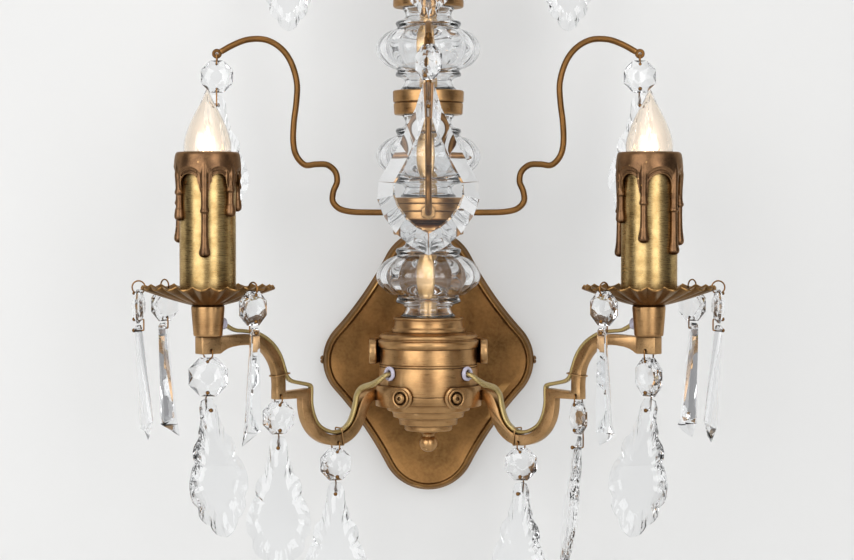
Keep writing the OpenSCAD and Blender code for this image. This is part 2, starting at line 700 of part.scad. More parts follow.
module drip_pan(s) {
    k = pan_flutes * 4;
    lower = [for (t = [0, 0.5, 1]) t];
    color(brass) at_candle(s) translate([0, 0, pan_z + 0.05]) difference() {
        loft(concat([for (r = [pan_bore_r]) [for (j = [0:k - 1])
            [r * cos(360 * j / k), r * sin(360 * j / k), 0]]],
            [for (t = lower) [for (j = [0:k - 1]) pan_point(t, 360 * j / k, 0)]],
            [for (i = [2:-1:0]) [for (j = [0:k - 1]) pan_point(lower[i], 360 * j / k, pan_sheet)]],
            [for (r = [pan_bore_r]) [for (j = [0:k - 1])
            [r * cos(360 * j / k), r * sin(360 * j / k), pan_sheet]]]), closed = true);
        for (a = pan_hole_angles) rotate([0, 0, s > 0 ? a : 180 - a]) translate([pan_hole_r, 0, 0])
            cylinder(h = 60, r = hook_hole_r, center = true, $fn = 32);
    }
}
pan_hole_r = pan_r - 2.6;
pan_hole_z = pan_z + pan_top((pan_hole_r - cup_r) / (pan_r - cup_r)) - pan_sheet / 2;
pan_hole_angles = [0, 45, 225];

module drip_pan_left() { drip_pan(-1); }
module drip_pan_right() { drip_pan(1); }

// Lamp holder inside the sleeve, on a short tube out of the cup
module lamp_holders() {
    color("#e9e4d6") for (s = [-1, 1]) at_candle(s) difference() {
        union() {
            translate([0, 0, pan_z - 2.9]) cylinder(h = holder_h - 30, r = nipple_r);
            translate([0, 0, holder_z + 40]) cylinder(h = holder_h - 40, r = 12.5);
            translate([0, 0, pan_z + pan_sheet + 0.1]) cylinder(h = 3, r = 8.5, $fn = 6);
        }
        translate([0, 0, bulb_z - 3]) cylinder(h = 100, r = bulb_base_r + 0.5);
    }
}
bulb_base_r = 7;

module bulb_base(s) {
    color(steel) at_candle(s) translate([0, 0, bulb_z]) {
        rotate_extrude() polygon([[0, 0], [3, 0], [3, 1.2], [6, 3], [6.3, 4], [bulb_base_r, 5],
            [bulb_base_r, bulb_base_h - 4], [bulb_base_r - 0.4, bulb_base_h - 0.05],
                [0, bulb_base_h - 0.05]]);
    }
}

// Clear flame-shaped glass
module bulb(s) {
    r = bulb_r;
    color(crystal) at_candle(s) translate([0, 0, glass_bulb_z]) rotate_extrude()
        polygon([for (p = smooth([[6.4, 0], [8, 4], [13, 12], [r - 0.8, 20], [r, 27], [r - 1, 34],
        [r - 4.3, 44], [8.6, 54], [4.6, 62], [2.4, 68], [1, 71.5], [0, 72.5], [0, 40], [0, 0]], 1))
        [max(p[0], 0), p[1]]]);
}

module bulb_left() { bulb(-1); }
module bulb_right() { bulb(1); }
module bulb_base_left() { bulb_base(-1); }
module bulb_base_right() { bulb_base(1); }

module sleeve(s) {
    color(sleeve_brass) at_candle(s) translate([0, 0, sleeve_z]) difference() {
        cylinder(h = sleeve_h, r = sleeve_r);
        translate([0, 0, -1]) cylinder(h = sleeve_h + 2, r = sleeve_r - sleeve_wall);
    }
}

module sleeve_left() { sleeve(-1); }
module sleeve_right() { sleeve(1); }

// Dark ring over the sleeve's top, shaped like run wax
module drip_collar(s) {
    rim_r = sleeve_r + 4;
    color(bronze) at_candle(s) translate([0, 0, wax_top_z]) rotate_extrude()
        polygon([[sleeve_r - 2.2, 0], [sleeve_r + 2.4, 0], [rim_r - 0.4, -2.4], [rim_r + 0.6, -8],
        [rim_r, -15], [rim_r - 1.4, -wax_ring_h], [sleeve_r + 0.05, -wax_ring_h],
        [sleeve_r + 0.05, -1.5], [sleeve_r - 2.2, -1.5]]);
}

// Drips of each candle: angle round it, length from the ring's top, radius of the round end
drips_left = [[20, 46, 3.4], [95, 42, 3.4], [165, 70, 3.8], [208, 53, 3.4], [270, 81, 3.8],
    [324, 50, 3.4]];
drips_right = [[5, 72, 3.6], [80, 42, 3.4], [160, 81, 3.8], [196, 55, 3.4], [254, 70, 3.8],
    [318, 79, 3.8]];

// Drips that run from under the ring down along the sleeve
module wax_drips(s, drips) {
    color(bronze) at_candle(s) translate([0, 0, wax_top_z]) difference() {
        for (d = drips) rotate([0, 0, d[0]]) translate([sleeve_r + 1.8, 0, d[2] - d[1]]) {
            cylinder(h = d[1] - d[2] - wax_ring_h - fit, r = 2.6, $fn = 24);
            cylinder(h = 12, r1 = d[2], r2 = 2.6, $fn = 24);
            sphere(r = d[2], $fn = 24);
        }
        translate([0, 0, -100]) cylinder(h = 101, r = sleeve_r + 0.05);
    }
}

module drip_collar_left() { drip_collar(-1); }
module drip_collar_right() { drip_collar(1); }
module wax_drips_left() { wax_drips(-1, drips_left); }
module wax_drips_right() { wax_drips(1, drips_right); }

// Wire arms: bent rods with a flat drilled eye at the tip
module wire_arm(a, z, route) {
    eye = wire_tip(route);
    at_axis() translate([0, 0, z]) rotate([0, 0, a]) difference() {
        union() {
            sweep([for (p = smooth(route, 2)) [p[0], 0, p[1]]], wire_d / 2, wire_d / 2, [0, 1, 0]);
            translate([wire_root_r, 0, 0]) rotate([0, 90, 0])
                cylinder(h = route[0][0] - wire_root_r + 0.05, r = wire_d / 2);
            translate([eye[0], 0, eye[1]]) rotate([90, 0, 0])
                cylinder(h = eye_t, r = eye_r, center = true);
        }
        translate([eye[0], 0, eye[1]]) rotate([90, 0, 0])
            cylinder(h = 20, r = hook_hole_r, center = true, $fn = 32);
    }
}
eye_r = 4;
eye_t = 2.2;
function wire_tip(route) = route[len(route) - 1] + [3.2, -1.6];

module wire_lower_left() { color(wire_bronze) wire_arm(180, wire_z, wire_route); }
module wire_lower_right() { color(wire_bronze) wire_arm(0, wire_z, wire_route); }
module wire_lower_front() { color(wire_bronze) wire_arm(270, wire_z, wire_route); }
module wires_upper() {
    color(wire_bronze) for (a = [0, 180, 270]) wire_arm(a, wire_up_z, wire_up_route);
}

module wire_nuts() {
    color(brass) for (z = [wire_z, wire_up_z], a = [0, 180, 270]) wire_line(a, z)
        translate([0, 0, collar_r + 0.05]) difference() {
            cylinder(h = 6, r = 6.3, $fn = 6);
            translate([0, 0, -1]) cylinder(h = 8, d = wire_d + 2 * thread_fit);
        }
}

// Cut glass: flat outline seen from the front, anticlockwise from its top point
module cut_glass(outline, thick, edge, table, centre) {
    loft([for (q = [[thick / 2, table], [edge / 2, 1], [-edge / 2, 1], [-thick / 2, table]])
        [for (p = outline) [centre[0] + (p[0] - centre[0]) * q[1], q[0], centre[1]
            + (p[1] - centre[1]) * q[1]]]]);
}
function both_sides(half) = concat(half,
    [for (i = [len(half) - 2:-1:1]) [-half[i][0], half[i][1]]]);
function pendant_half(l) = l / 110 * [[0, 0], [-4.5, -1], [-7, -6], [-7.5, -15], [-11, -25],
    [-10.5, -28], [-16, -34], [-18.5, -43], [-17.5, -47], [-22.5, -55], [-25.5, -67], [-24.5, -77],
    [-20.5, -82], [-20.5, -89], [-15.5, -96], [-12, -98], [-8, -106], [0, -110]];
function pear_half(l) = [for (i = [0:10]) let (t = i / 10)
    [-l * 0.295 * sin(180 * pow(t, 1.45)) * (0.8 + 0.2 * t) - 4 * sin(180 * t), -l * t]];

// Three-sided prism that widens downwards, with a slanted point on its flat side
module prism(l) {
    loft([for (p = [[0, 0, 6, 4], [2, 2, 8, 5.5], [l - 7, l - 13, 17, 11], [l, l, 1.6, 1.6]])
        let (back = p[2] > 2 ? p[3] / 2 : 5, front = p[2] > 2 ? -p[3] / 2 : 4)
        [[p[2] / 2, back, -p[0]], [p[2] * 0.1, front, -p[1]], [-p[2] * 0.1, front, -p[1]],
        [-p[2] / 2, back, -p[0]]]]);
}

// Holes in the glass take the brass loops
glass_hole_r = 1.1;
bead_hole_in = 3;
glass_gap = 1.6;
function pendant_hole_in(kind) = kind == "spear" ? 4 : kind == "scallop" ? 9 : 18;

module bead(d, z) {
    r = d / 2 / cos(22.5);
    translate([0, 0, z]) difference() {
        cut_glass([for (j = [0:7]) r * [cos(112.5 + 45 * j), sin(112.5 + 45 * j)]], d * 0.36, 1.6,
            0.5, [0, 0]);
        for (s = [-1, 1]) translate([0, 0, s * (d / 2 - bead_hole_in)]) rotate([90, 0, 0])
            cylinder(h = d, r = glass_hole_r, center = true, $fn = 24);
    }
}

// Closed loop of wire through the given points, with a small ball at each bend
module loop(p) {
    for (i = [0:len(p) - 1]) {
        pin(p[i], p[(i + 1) % len(p)]);
        translate(p[i]) sphere(d = pin_d + 0.4, $fn = 16);
    }
}
function across(w, a, z) = [-w * sin(a), w * cos(a), z];

// Staple through a drilled bar of the given width: down both sides and through the bead's top hole
module staple(width, clear, drop, a) {
    h = width / 2 + 1.6;
    w = 3.9;
    loop([across(-h, 0, 0), across(h, 0, 0), across(h, 0, -clear), across(w, a, -drop),
        across(-w, a, -drop), across(-h, 0, -clear)]);
}

// Curled ring through a thin sheet, standing in the plane of x and z
module curl(r) {
    translate([r, 0, 0]) rotate([90, 0, 0]) rotate_extrude($fn = 32) translate([r, 0])
        circle(d = pin_d, $fn = 16);
}

module pendant(kind, l) {
    difference() {
        union() {
            if (kind == "spear") prism(l);
            if (kind == "scallop") cut_glass(both_sides(pendant_half(l)), 8, 2, 0.66,
                [0, -l * 0.56]);
            if (kind == "pear") cut_glass(both_sides(pear_half(l)), 9, 2, 0.7, [0, -l * 0.58]);
        }
        translate([0, 0, -pendant_hole_in(kind)]) rotate([90, 0, 0])
            cylinder(h = 30, r = glass_hole_r, center = true, $fn = 24);
    }
}

// A drop below its top hole: a bead, a loop and the pendant. Bead and pendant may each be turned,
// and the pendant may lean on its loop.
module string(kind, l, d, lean, bead_turn, pendant_turn) {
    bead_z = -d / 2 + bead_hole_in;
    low_z = -d + 2 * bead_hole_in;
    top_z = low_z - bead_hole_in - glass_gap;
    hole_z = top_z - pendant_hole_in(kind);
    w = kind == "pear" ? 5.2 : 3.9;
    rotate([0, 0, bead_turn]) bead(d, bead_z);
    loop([across(-3.9, bead_turn, low_z), across(3.9, bead_turn, low_z),
        across(w, pendant_turn, top_z), across(w, pendant_turn, hole_z),
        across(-w, pendant_turn, hole_z), across(-w, pendant_turn, top_z)]);
    translate([0, 0, hole_z]) rotate([0, lean, 0]) rotate([0, 0, pendant_turn])
        translate([0, 0, pendant_hole_in(kind)]) pendant(kind, l);
}

// Drops on a drip pan hang from a ring through a hole near the rim
curl_r = 5;
curl_dip = 0.35;
module pan_drop(s, a, lean) {
    color(crystal) at_candle(s) rotate([0, 0, s > 0 ? a : 180 - a])
        translate([pan_hole_r, 0, pan_hole_z]) {
        curl(curl_r);
        translate([curl_r, 0, curl_dip - curl_r]) string("spear", spear_l, bead_d, lean, -90, -90);
    }
}

// Drops on an arm hang from a staple and swing along the arm
module arm_drop(s, p, d, width, drop, lean, bead_turn, pendant_turn) {
    color(crystal) side(s) translate(arm_point([p[0], 0, p[1]])) rotate([0, 0, -arm_angle]) {
        staple(width, 5, drop, bead_turn);
        translate([0, 0, -drop]) string("scallop", pendant_l, d, lean, bead_turn, pendant_turn);
    }
}

module wire_drop(a, z, route, kind, l, turn) {
    tip = wire_tip(route);
    color(crystal) at_axis() rotate([0, 0, a]) translate([tip[0], 0, z + tip[1]]) {
        staple(eye_t, eye_r + 1, eye_r + 4.5, turn);
        translate([0, 0, -eye_r - 4.5]) string(kind, l, bead_d, 0, turn, 2 * turn);
    }
}

module drop_left_outer() { pan_drop(-1, 0, 5); }
module drop_left_back() { pan_drop(-1, 45, 7); }
module drop_left_front() { pan_drop(-1, 225, 4); }
module drop_right_outer() { pan_drop(1, 0, 5); }
module drop_right_back() { pan_drop(1, 45, 7); }
module drop_right_front() { pan_drop(1, 225, 4); }
module drop_left_boss() { arm_drop(-1, boss_hole, bead_large_d, boss_t, 9, 9, 35, 0); }
module drop_right_boss() { arm_drop(1, boss_hole, bead_large_d, boss_t, 9, 9, -20, 0); }
module drop_left_step() { arm_drop(-1, step_hole, bead_d, bar, 8, 0, 10, 35); }
module drop_right_step() { arm_drop(1, step_hole, bead_d, bar, 8, 8, -30, -50); }
module drop_left_bend() { arm_drop(-1, bend_hole, bead_d, bar, 8, 0, 10, 35); }
module drop_right_bend() { arm_drop(1, bend_hole, bead_d, bar, 8, 2, 20, 0); }
module drop_wire_left() { wire_drop(180, wire_z, wire_route, "scallop", pendant_l, 0); }
module drop_wire_right() { wire_drop(0, wire_z, wire_route, "scallop", pendant_l, 0); }
module drop_wire_front() { wire_drop(270, wire_z, wire_route, "pear", pear_l, 45); }
module drop_top_left() { wire_drop(180, wire_up_z, wire_up_route, "scallop", pendant_small_l, 0); }
module drop_top_right() { wire_drop(0, wire_up_z, wire_up_route, "scallop", pendant_small_l, 0); }
module drop_top_front() {
    wire_drop(270, wire_up_z, wire_up_route, "scallop", pendant_small_l, 45);
}

wall_bracket();
backplate();
backplate_screws();
yoke();
body_cup();
body_cover();
glass_seat();
bottom_finial();
threaded_rod();
column_tube();
vase_lower();
vase_middle();
vase_upper();
collar_lower();
collar_middle();
collar_upper();
top_cap();
top_finial();
arm_left();
arm_right();
arm_screws();
cable_left();
cable_right();
cable_bushings();
cable_ties();
candle_cups();
drip_pan_left();
drip_pan_right();
lamp_holders();
wire_lower_left();
wire_lower_right();
wire_lower_front();
wires_upper();
wire_nuts();
sleeve_left();
sleeve_right();
drip_collar_left();
drip_collar_right();
wax_drips_left();
wax_drips_right();
bulb_left();
bulb_right();
bulb_base_left();
bulb_base_right();
drop_left_outer();
drop_left_back();
drop_left_front();
drop_right_outer();
drop_right_back();
drop_right_front();
drop_left_boss();
drop_right_boss();
drop_left_step();
drop_right_step();
drop_left_bend();
drop_right_bend();
drop_wire_left();
drop_wire_right();
drop_wire_front();
drop_top_left();
drop_top_right();
drop_top_front();
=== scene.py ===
"""Wall chandelier in aged brass and cut glass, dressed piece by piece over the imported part.

Sizes are in millimetres and angles in degrees until a mesh is made. The wall is the plane y = 0,
the room lies towards -y and z is up.
"""

import logging
import math
from collections.abc import Callable, Iterator, Sequence
from contextlib import contextmanager
from dataclasses import dataclass, field
from enum import Enum
from typing import ClassVar

import bmesh
import bpy
from mathutils import Matrix, Vector


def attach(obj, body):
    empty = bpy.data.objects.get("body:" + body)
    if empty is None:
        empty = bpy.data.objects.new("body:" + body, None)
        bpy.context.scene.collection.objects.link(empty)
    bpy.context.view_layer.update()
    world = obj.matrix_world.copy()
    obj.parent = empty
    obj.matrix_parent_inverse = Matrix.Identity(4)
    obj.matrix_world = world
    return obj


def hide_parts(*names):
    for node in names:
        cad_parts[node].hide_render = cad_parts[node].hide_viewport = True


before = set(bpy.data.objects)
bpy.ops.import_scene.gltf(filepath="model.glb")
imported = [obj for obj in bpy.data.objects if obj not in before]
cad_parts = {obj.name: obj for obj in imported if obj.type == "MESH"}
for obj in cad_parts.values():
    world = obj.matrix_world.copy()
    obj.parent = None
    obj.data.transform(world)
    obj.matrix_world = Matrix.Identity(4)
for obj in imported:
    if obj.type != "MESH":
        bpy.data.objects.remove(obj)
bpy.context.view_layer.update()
log = logging.getLogger("chandelier")

MM = 0.001
# Axis and radius of the turned body, and the plate's dish in front of the wall
AXIS_Y = -75.0
BODY_R = 40.0
DISH = 18.3
# Axis of the right candle, turn of the right arm, where the cable leaves the body, top of the socket cup
CANDLE = Vector((170.0, -166.03, 0.0))
ARM_TURN = 35.0
BUSHING_TURN = 49.0
PAN_Z = 52.5
# Holes that the drops' pins pass: their radius, and where they lie along the right arm and up
PIN_HOLE_R = 1.1
BOSS_HOLE, STEP_HOLE, BEND_HOLE = (158.7, 18.2), (95.5, -19.6), (42.0, -59.8)
Profile = Sequence[tuple[float, float]]
Ring = Sequence[Vector]
Obj = bpy.types.Object
Material = bpy.types.Material
Tree = bpy.types.NodeTree
Socket = bpy.types.NodeSocket


class Side(Enum):
    """Which arm a piece belongs to, as the sign of its x."""

    LEFT = -1
    RIGHT = 1

    @property
    def word(self) -> str:
        """The side's name as it stands in the node names."""
        return self.name.lower()


class Finish(Enum):
    """The finishes of the chandelier; each value starts with the record's material slot."""

    PLATE = "aged_plate_brass"
    BODY = "aged_brass"
    ARM = "aged_brass/arm"
    PAN = "aged_brass/pan"
    SLEEVE = "greenish_brass"
    DRIP = "dark_bronze"
    WIRE = "bronze_wire"
    CRYSTAL = "clear_crystal"
    BULB = "bulb_glass"
    CABLE = "gold_cable"
    BUSHING = "clear_plastic"
    HOLDER = "holder_plastic"
    NICKEL = "nickel"
    STEEL = "bare_steel"
    GLOW = "bulb_glass/glow"
    FILAMENT = "bulb_glass/filament"


class Cut(Enum):
    """The shapes of the hanging glass below a bead."""

    SPEAR = "spear"
    SCALLOP = "scallop"
    PEAR = "pear"

    @property
    def hole(self) -> float:
        """How far the pin's hole lies below the pendant's top."""
        return {"spear": 4, "scallop": 9, "pear": 18}[self.value]


# Points, routes and places


def turn_z(degrees: float) -> Matrix:
    """Rotation about z."""
    return Matrix.Rotation(math.radians(degrees), 4, "Z")


def shift(x: float, y: float, z: float) -> Matrix:
    """Translation in millimetres."""
    return Matrix.Translation((x, y, z))


def polar(radius: float, degrees: float, z: float = 0) -> Vector:
    """Point at a radius and an angle about z, at a height."""
    a = math.radians(degrees)
    return Vector((radius * math.cos(a), radius * math.sin(a), z))


def aimed(origin: Vector, direction: Vector) -> Matrix:
    """Place whose z axis points along a direction.

    Args:
        origin: Where the place is.
        direction: Where its z axis points.

    Returns:
        The matrix of the place.
    """
    return Matrix.Translation(origin) @ direction.to_track_quat("Z", "Y").to_matrix().to_4x4()


def arm_point(along: float, out: float, up: float) -> Vector:
    """Point of the right arm: along the arm's plane, out of it towards the room, and up."""
    a = math.radians(ARM_TURN)
    return Vector((BODY_R + along * math.cos(a) - out * math.sin(a),
                   AXIS_Y - along * math.sin(a) - out * math.cos(a), up))


def mirrored(side: Side) -> Matrix:
    """Keeps a right-hand shape, or mirrors it to the left."""
    return Matrix.Scale(side.value, 4, (1, 0, 0)) if side is Side.LEFT else Matrix()


def candle_place(side: Side) -> Matrix:
    """The candle's own axis on that side."""
    return shift(side.value * CANDLE.x, CANDLE.y, 0)


def softened(points: Sequence[Vector], radius: float, arc: int = 3, loop: bool = False) -> list[Vector]:
    """Rounds the corners of a chain of points.

    Args:
        points: The corners, in a plane or in space.
        radius: How far from a corner its arc starts, at most.
        arc: Steps of each arc.
        loop: Whether the chain is closed.

    Returns:
        The rounded chain.
    """
    chain = [Vector(p) for p in points]
    count = len(chain)
    out: list[Vector] = []
    for i, corner in enumerate(chain):
        if not loop and i in (0, count - 1):
            out.append(corner)
            continue
        before, after = chain[i - 1], chain[(i + 1) % count]
        cut_a = min(radius, 0.42 * (before - corner).length)
        cut_b = min(radius, 0.42 * (after - corner).length)
        a = corner + (before - corner).normalized() * cut_a
        b = corner + (after - corner).normalized() * cut_b
        for j in range(arc + 1):
            t = j / arc
            out.append(a * (1 - t) ** 2 + corner * 2 * t * (1 - t) + b * t * t)
    return out


def flowing(points: Sequence[Vector] | Profile, steps: int) -> list[Vector]:
    """Smooth curve through all points.

    Args:
        points: The points that the curve passes.
        steps: Steps between two points.

    Returns:
        The curve's points.
    """
    chain = [Vector(p) for p in points]
    last = len(chain) - 1
    out: list[Vector] = []
    for i in range(last):
        a, b, c, d = chain[max(i - 1, 0)], chain[i], chain[i + 1], chain[min(i + 2, last)]
        for j in range(steps):
            t = j / steps
            out.append(0.5 * (2 * b + (c - a) * t + (2 * a - 5 * b + 4 * c - d) * t * t
                              + (3 * b - a - 3 * c + d) * t ** 3))
    return out + [chain[last]]


def heading(path: Sequence[Vector], i: int) -> Vector:
    """Direction of a path at its point i."""
    return (path[min(i + 1, len(path) - 1)] - path[max(i - 1, 0)]).normalized()


# Modelling steps, each as done by hand in edit mode


def fresh() -> None:
    """Leaves edit mode and deselects everything."""
    if bpy.context.mode != "OBJECT":
        bpy.ops.object.mode_set(mode="OBJECT")
    bpy.ops.object.select_all(action="DESELECT")


def only(obj: Obj) -> None:
    """Makes one object the selected and active one."""
    fresh()
    obj.select_set(True)
    bpy.context.view_layer.objects.active = obj


def named(name: str) -> Obj:
    """Names the object that was just added, and its mesh."""
    obj = bpy.context.active_object
    obj.name = name
    obj.data.name = name
    return obj


@contextmanager
def editing(obj: Obj) -> Iterator[bmesh.types.BMesh]:
    """Opens a piece in edit mode with nothing selected, and closes it afterwards."""
    only(obj)
    bpy.ops.object.mode_set(mode="EDIT")
    bpy.ops.mesh.select_mode(type="VERT")
    bpy.ops.mesh.select_all(action="DESELECT")
    yield bmesh.from_edit_mesh(obj.data)
    bpy.ops.object.mode_set(mode="OBJECT")


def cleaned(obj: Obj, threshold: float = 0.01) -> Obj:
    """Merges doubles and turns the faces outwards."""
    with editing(obj):
        bpy.ops.mesh.select_all(action="SELECT")
        bpy.ops.mesh.remove_doubles(threshold=threshold * MM)
        bpy.ops.mesh.normals_make_consistent(inside=False)
    return obj


def pick(bm: bmesh.types.BMesh, vertices: Sequence[int]) -> None:
    """Selects vertices by their numbers, and the edges and faces between them."""
    bm.verts.ensure_lookup_table()
    for i in vertices:
        bm.verts[i].select = True
    bm.select_flush(True)


def ring_start(name: str, points: Ring) -> Obj:
    """Circle primitive whose vertices are set onto the given points."""
    fresh()
    bpy.ops.mesh.primitive_circle_add(vertices=len(points), radius=10 * MM, location=(0, 0, 0))
    obj = named(name)
    for vertex, point in zip(obj.data.vertices, points):
        vertex.co = Vector(point) * MM
    return obj


def lofted(name: str, rings: Sequence[Ring], caps: bool = True) -> Obj:
    """Extrudes a ring of vertices from station to station.

    Args:
        name: The piece's name.
        rings: Stations with the same number of points. A last ring equal to the first closes a tube.
        caps: Whether both ends are filled.

    Returns:
        The new piece.
    """
    obj = ring_start(name, rings[0])
    count = len(rings[0])
    with editing(obj):
        bpy.ops.mesh.select_all(action="SELECT")
        ring = list(range(count))
        for points in rings[1:]:
            bpy.ops.mesh.extrude_region()
            bm = bmesh.from_edit_mesh(obj.data)
            bm.verts.ensure_lookup_table()
            bm.verts.index_update()
            grown = []
            for i, point in zip(ring, points):
                old = bm.verts[i]
                new = next(e.other_vert(old) for e in old.link_edges if e.other_vert(old).select)
                new.co = Vector(point) * MM
                grown.append(new.index)
            ring = grown
            bmesh.update_edit_mesh(obj.data)
        if caps:
            bpy.ops.mesh.edge_face_add()
            bpy.ops.mesh.select_all(action="DESELECT")
            pick(bmesh.from_edit_mesh(obj.data), range(count))
            bpy.ops.mesh.edge_face_add()
    return cleaned(obj)


def turned(name: str, profile: Profile, place: Matrix | None = None, steps: int = 96,
           soft: float = 0.4, solid: bool = True) -> Obj:
    """Spins a profile of radius and height a full turn, as on a lathe.

    Args:
        name: The piece's name.
        profile: Corners of the profile. It starts and ends on the axis where solid is true.
        place: The axis: its origin and its z direction.
        steps: Steps of the turn.
        soft: Radius that the profile's corners are rounded to.
        solid: Whether the profile is open and meets the axis, not a closed ring.

    Returns:
        The new piece.
    """
    place = place or shift(0, AXIS_Y, 0)
    corners = [Vector((r, 0, z)) for r, z in profile]
    line = softened(corners, soft, loop=not solid) if soft else corners
    obj = ring_start(name, [place @ p for p in line])
    with editing(obj) as bm:
        if solid:
            pick(bm, (0, len(line) - 1))
            bpy.ops.mesh.select_mode(type="EDGE")
            bpy.ops.mesh.delete(type="EDGE")
            bpy.ops.mesh.select_mode(type="VERT")
        bpy.ops.mesh.select_all(action="SELECT")
        bpy.ops.mesh.spin(steps=steps, angle=math.tau, center=place.translation * MM,
                          axis=place.to_3x3() @ Vector((0, 0, 1)), use_auto_merge=True)
    return cleaned(obj)


def rod(name: str, path: Sequence[Vector], radius: float, loop: bool = False, round_: int = 3) -> Obj:
    """Round wire along a path, from a bevelled curve made a mesh.

    Args:
        name: The piece's name.
        path: Points of the centre line.
        radius: Radius of the wire.
        loop: Whether the wire closes on itself.
        round_: Bevel resolution of the curve.

    Returns:
        The new piece.
    """
    fresh()
    bpy.ops.curve.primitive_bezier_curve_add(radius=10 * MM, location=(0, 0, 0))
    curve = named(name).data
    curve.splines.clear()
    line = curve.splines.new("POLY")
    line.points.add(len(path) - 1)
    for point, at in zip(line.points, path):
        point.co = (*(Vector(at) * MM), 1)
    line.use_cyclic_u = loop
    curve.dimensions = "3D"
    curve.bevel_depth = radius * MM
    curve.bevel_resolution = round_
    curve.use_fill_caps = not loop
    bpy.ops.object.convert(target="MESH")
    return cleaned(named(name))


def ball(name: str, at: Vector, radius: float) -> Obj:
    """Small turned ball."""
    fresh()
    bpy.ops.mesh.primitive_uv_sphere_add(segments=20, ring_count=12, radius=radius * MM, location=(0, 0, 0))
    obj = named(name)
    obj.data.transform(Matrix.Translation(Vector(at) * MM))
    return obj


def joined(name: str, parts: Sequence[Obj]) -> Obj:
    """Joins meshes to one piece."""
    fresh()
    for part in parts:
        part.select_set(True)
    bpy.context.view_layer.objects.active = parts[0]
    if len(parts) > 1:
        bpy.ops.object.join()
    return named(name)


def applied(obj: Obj, kind: str, **settings: object) -> Obj:
    """Adds a modifier with its settings and applies it."""
    only(obj)
    modifier = obj.modifiers.new("shape", kind)
    for key, value in settings.items():
        setattr(modifier, key, value)
    bpy.ops.object.modifier_apply(modifier="shape")
    return obj


def bevelled(obj: Obj, width: float, segments: int = 2, angle: float = 35) -> Obj:
    """Rounds the sharp edges."""
    return applied(obj, "BEVEL", width=width * MM, segments=segments, limit_method="ANGLE",
                   angle_limit=math.radians(angle))


def cylinder(name: str, radius: float, depth: float, vertices: int, z: float = 0) -> Obj:
    """Cylinder primitive at its size about z, centred at a height."""
    fresh()
    bpy.ops.mesh.primitive_cylinder_add(vertices=vertices, radius=radius * MM, depth=depth * MM,
                                        location=(0, 0, z * MM))
    return named(name)


def carved(obj: Obj, tool: Obj, solver: str = "EXACT") -> Obj:
    """Cuts the shape of a tool out of a piece and removes the tool."""
    applied(obj, "BOOLEAN", operation="DIFFERENCE", object=tool, solver=solver)
    bpy.data.objects.remove(tool)
    return obj


def drilled(obj: Obj, at: Vector, along: Vector, depth: float) -> Obj:
    """Cuts a pin's round hole, centred on a point, along a direction."""
    return carved(obj, placed(cylinder("drill", PIN_HOLE_R, depth, 24), aimed(Vector(at), Vector(along))))


def placed(obj: Obj, place: Matrix) -> Obj:
    """Moves a mesh to a place given in millimetres and keeps its faces outwards."""
    metres = place.copy()
    metres.translation = place.translation * MM
    obj.data.transform(metres)
    if place.determinant() < 0:
        obj.data.flip_normals()
    return obj


def copied(obj: Obj, name: str, place: Matrix) -> Obj:
    """Copies a piece with its own mesh to a place."""
    twin = bpy.data.objects.new(name, obj.data.copy())
    twin.data.name = name
    bpy.context.scene.collection.objects.link(twin)
    return placed(twin, place)


def box_piece(name: str, place: Matrix, size: Vector, bevel: float) -> Obj:
    """Cube primitive at its size and place with rounded edges."""
    fresh()
    bpy.ops.mesh.primitive_cube_add(size=MM, location=(0, 0, 0))
    obj = named(name)
    with editing(obj):
        bpy.ops.mesh.select_all(action="SELECT")
        bpy.ops.transform.resize(value=size)
        bpy.ops.mesh.bevel(offset=bevel * MM, segments=3, affect="EDGES")
    return placed(obj, place)


def hex_nut(name: str, place: Matrix, radius: float, height: float) -> Obj:
    """Six-sided nut with chamfered corners, standing on its place."""
    def ring(r: float, z: float) -> list[Vector]:
        return [place @ polar(r, 60 * j, z) for j in range(6)]
    edge = min(0.7, height / 4)
    stations = [ring(radius - edge, 0), ring(radius, edge), ring(radius, height - edge),
                ring(radius - edge, height)]
    return bevelled(lofted(name, stations), 0.2)


def swept(name: str, path: Sequence[Vector], section: Callable[[int], Profile], across: Vector) -> Obj:
    """Extrudes a section along a path.

    Args:
        name: The piece's name.
        path: Points of the centre line.
        section: Gives the section's points at station i, across and along the third direction.
        across: The section's first direction.

    Returns:
        The new piece.
    """
    rings = []
    for i, point in enumerate(path):
        t = heading(path, i)
        u = (across - t * across.dot(t)).normalized()
        v = t.cross(u)
        rings.append([point + u * a + v * b for a, b in section(i)])
    return lofted(name, rings)


# Finishes


def srgb(code: str) -> tuple[float, float, float, float]:
    """Linear colour of an sRGB hex code."""
    def linear(c: float) -> float:
        return c / 12.92 if c <= 0.04045 else ((c + 0.055) / 1.055) ** 2.4
    r, g, b = (linear(int(code[i:i + 2], 16) / 255) for i in (1, 3, 5))
    return (r, g, b, 1.0)


def add(tree: Tree, kind: str, inputs: dict | None = None, **settings: object) -> bpy.types.Node:
    """Adds one node with its settings, constant inputs and links.

    Args:
        tree: The material's node tree.
        kind: The node's type name.
        inputs: A value or an output socket for each named or numbered input.
        settings: The node's own properties.

    Returns:
        The new node.
    """
    node = tree.nodes.new(kind)
    for key, value in settings.items():
        setattr(node, key, value)
    for socket, value in (inputs or {}).items():
        if isinstance(value, Socket):
            tree.links.new(value, node.inputs[socket])
        else:
            node.inputs[socket].default_value = value
    return node


def blend(tree: Tree, share: object, first: object, second: object) -> Socket:
    """Mix of two colours, each an output socket or a linear colour."""
    return add(tree, "ShaderNodeMix", {0: share, 6: first, 7: second}, data_type="RGBA").outputs[2]


def ramp(tree: Tree, value: Socket, low: float, high: float, start: float = 0.0,
         end: float = 1.0) -> Socket:
    """Maps the range low to high of a value onto start to end."""
    return add(tree, "ShaderNodeMapRange", {0: value, 1: low, 2: high, 3: start, 4: end}).outputs[0]


